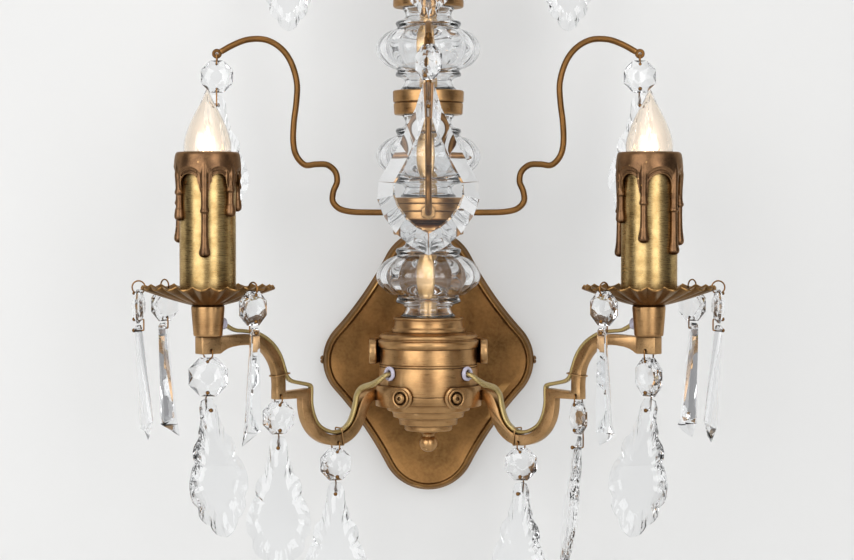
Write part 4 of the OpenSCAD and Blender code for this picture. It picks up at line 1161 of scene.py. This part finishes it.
    def cable(self) -> Obj:
        """Models the flat twin cable and writes how its strands run into an attribute."""
        turn = math.radians(BUSHING_TURN)
        x, y = BODY_R * math.sin(turn) - BODY_R, BODY_R * math.cos(turn)
        a = math.radians(ARM_TURN)
        s0, o0 = x * math.cos(a) + y * math.sin(a), y * math.cos(a) - x * math.sin(a)
        c = self.reach
        route = ((s0 - 6, o0 - 0.5, -5), (s0, o0, -5), (s0 + 5.5, o0 + 0.5, -6), (16.5, 24.5, -10),
                 (18.5, 18, -13.5),
                 (19.5, 10.5, -15.5), (20.5, 4, -18), (22, 0.5, -23), (23.5, 0, -31), (26, 0, -39),
                 (30, 0, -46),
                 (37, 0, -51), (44, 0, -52), (51.5, 0, -50), (58.5, 0, -45.5), (63, 0, -38), (65.5, 0, -28),
                 (65.5, 0, -18), (66, 0, -14), (69, 0, -12.5), (76, 0, -11), (84, 0, -9), (88.5, 0, -5),
                 (90.5, 0, 1),
                 (95, 0, 12.5), (102.5, 0, 22), (113.5, 0, 29), (125, 0, 31.5), (c - 24.5, 0, 32.5),
                 (c - 19.5, 0, 34.5), (c - 15, 0, 37), (c - 9.5, 0, 38))
        path = flowing([arm_point(*p) for p in route], 5)
        section = [(1.25 * k + 1.45 * math.cos(t), 1.6 * math.sin(t))
                   for k,
                   start in ((1, -1.2), (-1, math.pi - 1.2)) for t in (start + 2.4 * j / 6 for j in range(7))]
        across = Vector((-math.sin(a), -math.cos(a), 0))
        cable = swept(f"cable_flat_{self.side.word}", path, lambda i: section, across)
        flow = cable.data.attributes.new("flow", "FLOAT_VECTOR", "POINT")
        run, count = [0.0], len(section)
        for p, q in zip(path, path[1:]):
            run.append(run[-1] + (q - p).length)
        for i, vertex in enumerate(flow.data):
            station = min(i // count, len(run) - 1)
            vertex.vector = (run[station], 0.9 * (i % count), 0)
        return cable

    def tie(self, along: float, up: float, turn: float) -> Obj:
        """Models a wire band round the bar and the cable."""
        a = math.radians(turn)
        wide, tall = self.bar / 2 + 0.7, self.bar + 3.2 + 2.3
        corners = [(-wide, -wide), (wide, -wide), (wide, tall - wide), (-wide, tall - wide)]
        path = [arm_point(along - v * math.sin(a), u, up + v * math.cos(a)) for u, v in corners]
        return rod("tie", softened(path, 1.6, 4, loop=True), 0.6, loop=True, round_=2)

    def bushings(self) -> Obj:
        """Models the bushing in the drum and the one at the socket cup."""
        turn = math.radians(BUSHING_TURN)
        body = aimed(Vector((0, AXIS_Y, -5)), Vector((math.sin(turn), -math.cos(turn), 0)))
        r = BODY_R
        first = turned("bushing", ((3, r - 4), (4.5, r - 4), (4.5, r + 0.3), (5.8, r + 0.4), (5.9, r + 1.8),
                                   (5.2, r + 2.8),
                                   (4, r + 3), (3.2, r + 2.4), (3, r + 1)), body, 48, 0.3, solid=False)
        cup = shift(*CANDLE.xy, 38) @ turn_z(180 - ARM_TURN) @ Matrix.Rotation(math.radians(90), 4, "Y")
        second = turned("bushing", ((3, 10.2), (4.5, 10.2), (4.5, 14), (4.2, 15), (3.6, 15.1), (3, 14.6)),
                        cup, 40, 0.3,
                        solid=False)
        return joined(f"cable_bushings_{self.side.word}", [first, second])


@dataclass
class Candle(Assembly):
    """Socket cup, fluted drip pan, sleeve with its wax-drip collar, and the lit flame bulb."""

    side: Side = Side.RIGHT
    cup_r: float = 12.6
    cup_h: float = 24
    pan_r: float = 51
    pan_rise: float = 13.5
    flutes: int = 24
    flute: float = 1.15
    sheet: float = 1.2
    sleeve_r: float = 21.7
    sleeve_z: float = 56.97
    sleeve_h: float = 112
    bulb_z: float = 146.5

    @property
    def drips(self) -> tuple[tuple[float, float, float], ...]:
        """Angle round the candle, length and end radius of each drip."""
        if self.side is Side.LEFT:
            return (20, 46, 3.4), (95, 42, 3.4), (165, 70, 3.8), (208, 53, 3.6), (270, 81, 4.1), (324, 50,
                                                                                                  3.6)
        return (5, 72, 3.6), (80, 42, 3.4), (160, 81, 3.8), (196, 55, 3.6), (254, 70, 4.1), (318, 79, 4.0)

    def pan_point(self, t: float, degrees: float, up: float) -> Vector:
        """Point of the fluted pan, t from the cup to the rim."""
        wave = self.flute * (2 * abs(math.cos(math.radians(degrees) * self.flutes / 2)) - 1)
        r = self.cup_r + (self.pan_r - self.cup_r) * t + 0.7 * t * t * wave
        return polar(r, degrees, self.pan_rise * (0.8 * t + 0.2 * t * t) - t * wave + up)

    def pan(self) -> Obj:
        """Models the pan as one sheet: underside out to the rolled rim and back over the top."""
        count = self.flutes * 10
        angles = [360 * j / count for j in range(count)]
        stations = [0, 0.15, 0.3, 0.45, 0.6, 0.72, 0.82, 0.9, 0.95, 0.985]

        def flat(r: float, z: float) -> list[Vector]:
            return [polar(r, a, z) for a in angles]
        rings = [flat(5.1, 0), flat(9, 0)] + [[self.pan_point(t, a, 0) for a in angles] for t in stations]
        rings += [[self.pan_point(1, a, lift) for a in angles] for lift in (0.1, self.sheet / 2,
                                                                            self.sheet - 0.1)]
        rings += [[self.pan_point(t, a, self.sheet) for a in angles] for t in reversed(stations)]
        rings += [flat(9, self.sheet), flat(5.1, self.sheet), flat(5.1, 0)]
        pan = lofted(f"drip_pan_fluted_{self.side.word}", rings, caps=False)
        return placed(pan, candle_place(self.side) @ shift(0, 0, PAN_Z + 0.05))

    def collar(self) -> Obj:
        """Models the run wax: a ring, arched webs and drips, melted together by a remesh."""
        r = self.sleeve_r
        parts = [turned("ring", ((r - 2.2, 0), (r + 1.2, 0), (r + 2.5, -0.7), (r + 3.2, -2.4), (r + 3.8, -6),
                                 (r + 4.1, -10), (r + 3.4, -13.5), (r + 0.1, -13.5), (r - 0.6, -12),
                                 (r - 2.2, -10)), Matrix(), 96, 0.8, solid=False)]
        order = sorted(self.drips)
        for first, second in zip(order, order[1:] + [order[0]]):
            parts += self.arch(first, second)
        for angle, length, end in self.drips:
            knee = 0.6 * length if length < 60 else 0.57 * length
            line = flowing((
                (2.6, -9), (3, -13), (3.5, -17), (3.4, -20), (2.8, -0.62 * knee - 4), (2.8, -knee + 4),
                (3.6, -knee + 1),
                (3.4, -knee - 0.6), (2.6, -knee - 1.6), (2.75, -0.5 * (length + knee)), (3.3, -length + 9),
                (end + 0.3, -length + 4.4), (end, -length + 2), (end * 0.6, -length + 0.5), (0.5, -length)),
                3)
            profile = [(0, -9)] + [(p.x, p.y) for p in line] + [(0, -length)]
            parts.append(turned("drip", profile, turn_z(angle) @ shift(r + 1.6, 0, 0), 20, 0))
        wax = joined(f"wax_collar_{self.side.word}", parts)
        applied(wax, "REMESH", mode="VOXEL", voxel_size=0.45 * MM, use_smooth_shade=True)
        applied(wax, "SMOOTH", factor=0.5, iterations=3)
        carved(wax, cylinder("bore", r + 0.06, 100, 96, -51.6), "FAST")
        return placed(wax, candle_place(self.side) @ shift(0, 0, self.sleeve_z + self.sleeve_h + 1.6))

    def arch(self, first: tuple[float, float, float], second: tuple[float, float, float]) -> list[Obj]:
        """Models the web between two drips: a U-shaped edge with a thin step and a rounded border.

        Args:
            first: Angle, length and end radius of one drip.
            second: The same of the next drip.

        Returns:
            The web and its border.
        """
        r = self.sleeve_r + 1.6
        span = math.radians((second[0] - first[0]) % 360) * r / 2
        middle = math.radians(first[0]) + span / r
        half, leg, crown, rise = max(span - 3.0, 3.0), 0.45 * min(first[1], second[1]), -16.5, 9.5
        edge = [Vector((-half, -leg)), Vector((-half, -0.5 * (leg - crown) + crown * 0.2 - 8))]
        edge += [Vector((-half * math.cos(t), crown - rise * (1 - math.sin(t)))) for t in
                 (math.pi * i / 20 for i in range(21))]
        edge += [Vector((half, edge[1].y)), Vector((half, -leg))]
        edge[1].y = edge[-2].y = min(edge[1].y, crown - rise - 1)

        def at(p: Vector, out: float) -> Vector:
            a = middle + p.x / r
            return Vector((math.cos(a) * (r + out), math.sin(a) * (r + out), p.y))
        rings, border = [], []
        for i, p in enumerate(edge):
            t = heading(edge, i)
            share = max(0.0, 1 - (crown - p.y) / (rise + 3))
            step = p + Vector((-t.y, t.x)) * (0.3 + 2.0 * share)
            lip = p + Vector((-t.y, t.x)) * (0.5 + 4.1 * share)
            top = Vector((lip.x, -9))
            rings.append([at(p, -1.5), at(p, 0.5), at(step, 0.6), at(step, 0.6 + 1.1 * share),
                          at(lip, 0.7 + 1.2 * share),
                          at(lip, 0.9 + 1.9 * share), at(top, 2.4), at(top, -1.5)])
            if 1 < i < len(edge) - 2:
                border.append(at(p, 0.5))
        return [lofted("web", rings), rod("border", border, 0.8, round_=1)]

    def bulb(self) -> tuple[Obj, Obj, Obj]:
        """Models the blown flame glass, the light inside it and its filament."""
        word, place = self.side.word, candle_place(self.side) @ shift(0, 0, self.bulb_z)
        outer = flowing((
            (6.4, 0), (8, 4), (13.4, 12), (17.3, 20), (18.3, 27), (17.6, 34), (14.4, 44), (9.6, 54),
            (5.2, 62), (2.6, 68),
            (1, 71.5)), 4)
        inner = [Vector((max(p.x - 0.7 - 1.2 * max(0, p.y - 60) / 12, 0.15),
                         min(p.y, 69.5))) for p in reversed(outer)]
        glass = turned(f"bulb_flame_{word}", [(0, 72.5)] + [(p.x, p.y) for p in reversed(outer)]
                       + [(p.x, p.y + 0.6) for p in reversed(inner)] + [(0, 69.8)], place, 64, 0)
        light = turned(f"bulb_light_{word}", [(0, 1.5)] + [(p.x - 1.4,
                                                            p.y + 1.5) for p in outer[:-3]] + [(0, 68.6)],
                       place, 40, 0)
        coils = [rod("post", [place @ Vector((s * 2.6, 0, 0.5)), place @ Vector((s * 3.4, 0, 24))], 0.35,
                     round_=1)
                 for s in (-1, 1)]
        coil = [place @ Vector((3.4 - 6.8 * i / 60, 1.1 * math.cos(i * 1.9),
                                25 + 5 * math.sin(math.pi * i / 60)
                                + 1.1 * math.sin(i * 1.9))) for i in range(61)]
        coils.append(rod("coil", coil, 0.3, round_=1))
        return glass, light, joined(f"bulb_filament_{word}", coils)

    def build(self) -> None:
        """Models the candle from the socket cup up."""
        word, z = self.side.word, PAN_Z - self.cup_h
        place, r = candle_place(self.side), self.cup_r
        self.keep(turned(f"socket_cup_{word}", (
            (0, z + 0.05), (r - 2.4, z + 0.05), (r - 1.5, z + 0.7), (r - 1.3, z + 2), (r - 0.3, z + 14),
            (r + 0.3, z + 22.2),
            (r + 0.2, z + 23.2), (r - 0.5, z + 24), (0, z + 24)), place, 64, 0.5),
            Finish.BODY, "candle_cups")
        self.keep(self.pan(), Finish.PAN, f"drip_pan_{word}", smooth=60)
        z = self.sleeve_z
        body = f"sleeve_{word}"
        self.keep(turned(f"sleeve_tube_{word}", (
            (self.sleeve_r - 1, z), (self.sleeve_r - 0.2, z), (self.sleeve_r, z + 0.3),
            (self.sleeve_r, z + self.sleeve_h),
            (self.sleeve_r - 1, z + self.sleeve_h)), place, 96, 0.15, solid=False), Finish.SLEEVE,
            f"sleeve_{word}", body=body)
        self.keep(self.collar(), Finish.DRIP, f"drip_collar_{word}", f"wax_drips_{word}", body=body,
                  smooth=60)
        glass, light, filament = self.bulb()
        body = f"bulb_{word}"
        self.keep(glass, Finish.BULB, f"bulb_{word}", body=body, smooth=60)
        self.keep(light, Finish.GLOW, body=body, smooth=60)
        self.keep(filament, Finish.FILAMENT, body=body)


@dataclass
class WireTier(Assembly):
    """Three bent wire arms out of a collar, each with its nut and a drilled eye at the tip."""

    upper: bool = False
    wire_r: float = 2.5
    lower_z: float = 124.2
    upper_z: float = 307.7
    lower_route: Profile = (
        (34, 0), (48, 0), (62, 0.5), (72, 3), (77.5, 9), (77, 17), (74, 25), (75.5, 33), (82, 38.5), (91, 39),
        (100, 38.5), (107, 46), (109.5, 57), (109, 73), (107, 89), (106.5, 105), (111, 121), (119, 132.5),
        (131, 139.5), (145, 140), (157, 136), (168, 130))
    upper_route: Profile = (
        (34, 0), (44, 0), (50, 4), (51, 12), (49, 20), (52, 28), (60, 32), (68, 36), (71, 46), (70, 58),
        (71, 72),
        (78, 84), (90, 89), (102, 86), (110, 80))

    @property
    def height(self) -> float:
        """Height of the wires at their collar."""
        return self.upper_z if self.upper else self.lower_z

    @property
    def route(self) -> Profile:
        """The wire's bends in its own plane, from the collar out."""
        return self.upper_route if self.upper else self.lower_route

    @property
    def tip(self) -> Vector:
        """The eye's centre along the wire's plane and above the collar."""
        return Vector(self.route[-1]) + Vector((3.2, -1.6))

    def wire(self, name: str, place: Matrix) -> Obj:
        """Models one wire with its eye."""
        path = [Vector((13, 0, 0))] + [Vector((p.x, 0, p.y)) for p in flowing(self.route, 6)]
        bar = rod(name, [place @ p for p in path], self.wire_r, round_=4)
        at = place @ Vector((self.tip.x, 0, self.tip.y))
        eye = turned("eye", ((1.15, -1.1), (3.4, -1.1), (4, -0.5), (4, 0.5), (3.4, 1.1), (1.15, 1.1)),
                     aimed(at, place.to_3x3() @ Vector((0, 1, 0))), 32, 0.3, solid=False)
        return joined(name, [bar, eye])

    def build(self) -> None:
        """Models the three wires and their nuts."""
        tier = "upper" if self.upper else "lower"
        for word, angle in (("right", 0), ("left", 180), ("front", 270)):
            place = shift(0, AXIS_Y, self.height) @ turn_z(angle)
            node = "wires_upper" if self.upper else f"wire_lower_{word}"
            self.keep(self.wire(f"wire_{tier}_{word}_drawn", place), Finish.WIRE, node)
            nut = hex_nut(f"wire_nut_{tier}_{word}", place @ shift(28.55, 0,
                                                                   0) @ Matrix.Rotation(math.radians(90), 4,
                                                                                        "Y"),
                          6.3, 6)
            self.keep(nut, Finish.BODY, "wire_nuts")


@dataclass
class CutGlass:
    """The cut shapes, each modelled once and then copied to its drops."""

    shapes: dict[tuple[str, float], Obj] = field(default_factory=dict)

    def take(self, kind: Cut | str, size: float, name: str, place: Matrix) -> Obj:
        """Copies a shape to its place, modelling it first where it is new.

        Args:
            kind: A pendant's cut, or "bead".
            size: The pendant's length or the bead's width.
            name: The copy's name.
            place: Where the copy hangs.

        Returns:
            The copy.
        """
        key = (str(kind), size)
        if key not in self.shapes:
            self.shapes[key] = self.bead(size) if kind == "bead" else self.pendant(kind, size)
        return copied(self.shapes[key], name, place)

    def clear(self) -> None:
        """Removes the patterns once every drop has its copies."""
        for obj in self.shapes.values():
            bpy.data.objects.remove(obj)
        self.shapes.clear()

    @staticmethod
    def layered(name: str, outline: Sequence[Vector], layers: Profile, centre: float, star: float) -> Obj:
        """Extrudes a flat outline through layers that shrink towards a centre.

        Args:
            name: The shape's name.
            outline: Points across and up.
            layers: Depth of each layer and how large it is.
            centre: Height that the layers shrink towards.
            star: How far every other point of a shrunk layer stands out, as a share.

        Returns:
            The faceted shape.
        """
        rings = []
        for depth, k in layers:
            ks = [k if k == 1 else k * (1 + star * (-1) ** i) for i in range(len(outline))]
            rings.append([Vector((p.x * s, depth, centre + (p.y - centre) * s)) for p, s in zip(outline, ks)])
        return lofted(name, rings)

    @staticmethod
    def bead(width: float) -> Obj:
        """Models an octagon bead with a ring of star facets on both sides and two holes."""
        thick = width * 0.36

        def ring(scale: float, turn: float, y: float) -> list[Vector]:
            r = width / 2 / math.cos(math.radians(22.5)) * scale
            return [Vector((r * math.cos(math.radians(112.5 + turn + 45 * j)), y,
                            r * math.sin(math.radians(112.5 + turn + 45 * j)))) for j in range(8)]
        half = [ring(0.36, 0, 0.5 * thick), ring(0.68, 22.5, 0.36 * thick), ring(1, 0, 0.8)]
        back = [[Vector((p.x, -p.y, p.z)) for p in r] for r in reversed(half)]
        obj = lofted("bead", half + back)
        with editing(obj) as bm:
            for face in bm.faces:
                face.select = len(face.verts) == 4
            bm.select_flush(True)
            bpy.ops.mesh.quads_convert_to_tris(quad_method="SHORTEST_DIAGONAL")
        for s in (-1, 1):
            drilled(obj, Vector((0, 0, s * (width / 2 - 3))), Vector((0, 1, 0)), 30)
        return obj

    def pendant(self, kind: Cut, length: float) -> Obj:
        """Models a pendant that hangs down from z = 0, with its hole."""
        if kind is Cut.SPEAR:
            rings = []
            for up, ridge, wide, deep in ((0, 0, 6, 4), (2, 2, 8, 5.5), (length - 11, length - 15, 17, 9)):
                rings.append([Vector((wide / 2, deep / 2, -up)), Vector((wide * 0.06, -deep / 2, -ridge)),
                              Vector((-wide * 0.06, -deep / 2, -ridge)), Vector((-wide / 2, deep / 2, -up))])
            rings.append([Vector((7.6, 1.6, -length)), Vector((1, -0.8, 4 - length)),
                          Vector((-1, -0.8, 5 - length)),
                          Vector((-7.6, 1.6, 9 - length))])
            obj = lofted("spear", rings)
        elif kind is Cut.SCALLOP:
            half = [Vector(p) * (length / 110) for p in (
                (0, 0), (-4.5, -1), (-7, -6), (-7.5, -15), (-9, -20), (-11, -25), (-10.5, -28), (-13, -31),
                (-16, -34),
                (-18, -38.5), (-18.5, -43), (-17.5, -47), (-20.2, -50.5), (-22.5, -55), (-24.6, -61),
                (-25.5, -67),
                (-25.4, -72), (-24.5, -77), (-20.5, -82), (-20.5, -89), (-18.4, -93), (-15.5, -96),
                (-12, -98),
                (-10.6, -102), (-8, -106), (-4, -108.6), (0, -110))]
            outline = half + [Vector((-p.x, p.y)) for p in reversed(half[1:-1])]
            layers = ((4, 0.62), (2.9, 0.8), (1, 1), (-1, 1), (-2.9, 0.8), (-4, 0.62))
            obj = self.layered("scallop", outline, layers, -length * 0.56, 0.03)
        else:
            half = [Vector(p) * (length / 127) for p in (
                (0, 0), (-4, -1), (-6.5, -9), (-9.5, -19), (-15.5, -32), (-21, -45), (-29.5, -60),
                (-36.8, -73),
                (-37.5, -86), (-33, -98), (-24, -111), (-12, -121), (0, -127))]
            outline = half + [Vector((-p.x, p.y)) for p in reversed(half[1:-1])]
            layers = ((5.6, 0.66), (0.8, 1), (-0.8, 1), (-5.6, 0.66))
            obj = self.layered("pear", outline, layers, -length * 0.6, 0)
        return drilled(obj, Vector((0, 0, -kind.hole)), Vector((0, 1, 0)), 40)


@dataclass
class Drop(Assembly):
    """A bead and a pendant on head pins, hung from a pan, an arm or a wire."""

    glass: CutGlass = field(default_factory=CutGlass)
    node: str = ""
    place: Matrix = field(default_factory=Matrix)
    kind: Cut = Cut.SCALLOP
    length: float = 110
    bead: float = 26
    lean: float = 0
    bead_turn: float = 0
    pendant_turn: float = 0
    hanger: Sequence[Vector] = ()
    # Side of the bead on which the pins show their ball heads
    face: int = -1
    pin_r: float = 0.6
    ball_r: float = 1.6

    def across(self, width: float, turn: float, z: float) -> Vector:
        """Point to the side of the drop's centre line, in the drop's own place."""
        a = math.radians(turn)
        return self.place @ Vector((-width * math.sin(a), width * math.cos(a), z))

    def build(self) -> None:
        """Models the bead, the pendant and the pins."""
        hole_in = self.kind.hole
        low = -self.bead + 6
        top = low - 4.6
        hole = top - hole_in
        bead = self.glass.take("bead", self.bead, f"{self.node}_bead",
                               self.place @ turn_z(self.bead_turn) @ shift(0, 0, 3 - self.bead / 2))
        hang = (self.place @ shift(0, 0, hole) @ Matrix.Rotation(math.radians(self.lean), 4, "Y")
                @ turn_z(self.pendant_turn) @ shift(0, 0, hole_in))
        pendant = self.glass.take(self.kind, self.length, f"{self.node}_{self.kind.value}", hang)
        back = -self.face * (5.2 if self.kind is Cut.PEAR else 3.9)
        front = self.face * 3.4
        tail = self.face * (5.4 if self.kind is Cut.PEAR else 4.6 if self.kind is Cut.SCALLOP else 3.6)
        path = [self.across(front, self.bead_turn, low), self.across(back, self.bead_turn, low),
                self.across(back, self.pendant_turn, top), self.across(back, self.pendant_turn, hole),
                self.across(tail, self.pendant_turn, hole)]
        parts = [rod("pin", softened(path, 0.9), self.pin_r, round_=2)]
        parts += [ball("head", path[0], self.ball_r), ball("head", path[-1], self.ball_r)]
        if self.hanger:
            parts.append(rod("hanger", [self.place @ p for p in self.hanger], self.pin_r, loop=True,
                             round_=2))
            parts.append(ball("head", self.across(self.face * 3.6, self.bead_turn, 0), self.ball_r * 0.8))
        pins = joined(f"{self.node}_pins", parts)
        self.keep(bead, Finish.CRYSTAL, self.node, body=self.node, smooth=None)
        self.keep(pendant, Finish.CRYSTAL, self.node, body=self.node, smooth=None)
        self.keep(pins, Finish.WIRE, self.node, body=self.node)


def staple(width: float, clear: float, drop: float, turn: float) -> list[Vector]:
    """Hanger through a drilled bar, seen from the bead's top hole."""
    h, w, a = width / 2 + 1.6, 3.9, math.radians(turn)
    side = Vector((-w * math.sin(a), w * math.cos(a), 0))
    corners = [Vector((0, -h, drop)), Vector((0, h, drop)), Vector((0, h, drop - clear)), side, -side,
               Vector((0, -h, drop - clear))]
    return softened(corners, 1.2, 3, loop=True)


def pan_drop(glass: CutGlass, side: Side, word: str, angle: float, lean: float) -> Drop:
    """A spear that hangs from a ring through the pan's rim."""
    out, up, ring_r, low = 53.4, 66.404, 5, 4.65
    place = candle_place(side) @ turn_z(angle if side is Side.RIGHT else 180 - angle) @ shift(out, 0,
                                                                                              up - low)
    ring = [Vector((ring_r * math.cos(t), 0,
                    low + ring_r * math.sin(t))) for t in (math.tau * j / 24 for j in range(24))]
    return Drop(glass, f"drop_{side.word}_{word}", place, Cut.SPEAR, 90, 26, lean, -90, -90, ring, face=1)


def arm_drop(glass: CutGlass, side: Side, word: str, spot: tuple[float, float], bead: float, width: float,
             drop: float,
             lean: float, bead_turn: float, pendant_turn: float) -> Drop:
    """A pendant that hangs from a staple through the arm."""
    place = mirrored(side) @ Matrix.Translation(arm_point(spot[0], 0,
                                                          spot[1])) @ turn_z(-ARM_TURN) @ shift(0, 0, -drop)
    return Drop(glass, f"drop_{side.word}_{word}", place, Cut.SCALLOP, 110, bead, lean, bead_turn,
                pendant_turn,
                staple(width, 5, drop, bead_turn))


def wire_drop(glass: CutGlass, tier: WireTier, node: str, angle: float, kind: Cut, length: float,
              turn: float) -> Drop:
    """A pendant that hangs from a wire arm's eye."""
    low = 8.5
    place = shift(0, AXIS_Y, 0) @ turn_z(angle) @ shift(tier.tip.x, 0, tier.height + tier.tip.y - low)
    return Drop(glass, node, place, kind, length, 26, 0, turn, 2 * turn, staple(2.2, 5, low, turn))


@dataclass
class Studio:
    """Pale wall and floor, soft lamps and the camera; none of it belongs to the object."""

    floor_z: float = -420
    focal: float = 92.7
    eye: Vector = field(default_factory=lambda: Vector((-1.1, -1860, 122)))
    dip: float = 1.69

    def plane(self, name: str, size: float, at: Vector, turn: float, material: Material) -> None:
        """Adds one flat of the studio."""
        fresh()
        bpy.ops.mesh.primitive_plane_add(size=size * MM, location=at * MM,
                                         rotation=(math.radians(turn), 0, 0))
        flat = named(name)
        flat.data.materials.append(material)

    def lamp(self, name: str, at: Vector, size: tuple[float, float], power: float) -> None:
        """Adds one soft box that looks at the object."""
        data = bpy.data.lights.new(name, "AREA")
        data.shape, data.size, data.size_y, data.energy = "RECTANGLE", size[0] * MM, size[1] * MM, power
        box = bpy.data.objects.new(name, data)
        bpy.context.scene.collection.objects.link(box)
        box.location = at * MM
        box.rotation_euler = (Vector((0, -100, 60)) - at).to_track_quat("-Z", "Y").to_euler()

    def build(self) -> None:
        """Sets up the flats, the lamps, the world and the camera."""
        paint = PaintFinish("studio_pale_paint").material()
        self.plane("studio_wall", 5200, Vector((0, 0.6, 2180)), 90, paint)
        self.plane("studio_floor", 5200, Vector((0, -2600, self.floor_z)), 0, paint)
        self.lamp("softbox_left", Vector((-1080, -1620, 480)), (1560, 1500), 21.5)
        self.lamp("softbox_right", Vector((740, -1700, 420)), (880, 1500), 12.5)
        self.lamp("softbox_top", Vector((0, -900, 1700)), (1500, 700), 6)
        self.sky()
        data = bpy.data.cameras.new("view_camera")
        data.lens, data.sensor_width, data.clip_start = self.focal, 36, 0.05
        camera = bpy.data.objects.new("view_camera", data)
        bpy.context.scene.collection.objects.link(camera)
        camera.location = self.eye * MM
        camera.rotation_euler = (math.radians(90 - self.dip), 0, 0)
        bpy.context.scene.camera = camera

    def sky(self) -> None:
        """Room light: pale in front and above, darker at both sides and low down."""
        world = bpy.data.worlds.new("studio_room")
        bpy.context.scene.world = world
        world.use_nodes = True
        tree = world.node_tree
        tree.nodes.clear()
        way = add(tree, "ShaderNodeTexCoord").outputs["Generated"]
        split = add(tree, "ShaderNodeSeparateXYZ", {"Vector": way}).outputs
        aside = maths(tree, "ABSOLUTE", split[0])
        open_ = ramp(tree, aside, 1.0, 0.55)
        lift = ramp(tree, split[2], -0.7, 0.6, 0.4, 1.0)
        both = maths(tree, "MULTIPLY", open_, lift)
        bent = add(tree, "ShaderNodeLightPath").outputs["Is Transmission Ray"]
        pale = maths(tree, "MULTIPLY", bent, 0.55)
        share = maths(tree, "MAXIMUM", both, pale)
        room = blend(tree, share, srgb("#4C4A48"), srgb("#E6E6E8"))
        light = add(tree, "ShaderNodeBackground", {"Color": room, "Strength": 0.65}).outputs[0]
        add(tree, "ShaderNodeOutputWorld", {"Surface": light})


def dress_cad(finishes: dict[Finish, Material]) -> None:
    """Gives the CAD nodes that stay their finishes."""
    kept = {"wall_bracket": Finish.STEEL, "threaded_rod": Finish.STEEL, "lamp_holders": Finish.HOLDER,
            "bulb_base_left": Finish.NICKEL, "bulb_base_right": Finish.NICKEL}
    for node, finish in kept.items():
        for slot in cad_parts[node].material_slots:
            slot.material = finishes[finish]
        log.info("CAD node %s: %s", node, finish.value)


def main() -> None:
    """Builds the studio and every sub-assembly in order."""
    logging.basicConfig(level=logging.INFO, format="%(message)s")
    bpy.context.scene.view_settings.view_transform = "Standard"
    Studio().build()
    finishes = palette()
    glass = CutGlass()
    lower, upper = WireTier(), WireTier(upper=True)
    left, right = Side.LEFT, Side.RIGHT
    drops = [pan_drop(glass, side, word, angle, lean) for side in Side
             for word, angle, lean in (("outer", 0, 5), ("back", 45, 7), ("front", 225, 4))]
    drops += [arm_drop(glass, side, word, spot, *sizes) for side, word, spot, *sizes in (
        (left, "boss", BOSS_HOLE, 30, 11, 9, 9, 35, 0), (right, "boss", BOSS_HOLE, 30, 11, 9, 9, -20, 0),
        (left, "step", STEP_HOLE, 26, 8.5, 8, 0, 10, 35), (right, "step", STEP_HOLE, 26, 8.5, 8, 8, -30, -50),
        (left, "bend", BEND_HOLE, 26, 8.5, 8, 0, 10, 35), (right, "bend", BEND_HOLE, 26, 8.5, 8, 2, 20, 0))]
    drops += [wire_drop(glass, tier, node, *sizes) for tier, node, *sizes in (
        (lower, "drop_wire_left", 180, Cut.SCALLOP, 110, 0), (lower, "drop_wire_right", 0, Cut.SCALLOP, 110,
                                                              0),
        (lower, "drop_wire_front", 270, Cut.PEAR, 127, 45), (upper, "drop_top_left", 180, Cut.SCALLOP, 82, 0),
        (upper, "drop_top_right", 0, Cut.SCALLOP, 82, 0), (upper, "drop_top_front", 270, Cut.SCALLOP, 82,
                                                           45))]
    parts = [WallPlate(), Body(), Column(), *(Arm(side=s) for s in Side), *(Candle(side=s) for s in Side),
             lower, upper]
    for assembly in (*parts, *drops):
        assembly.build()
        assembly.dress(finishes)
    glass.clear()
    dress_cad(finishes)
    fresh()


if __name__ == "__main__":
    main()
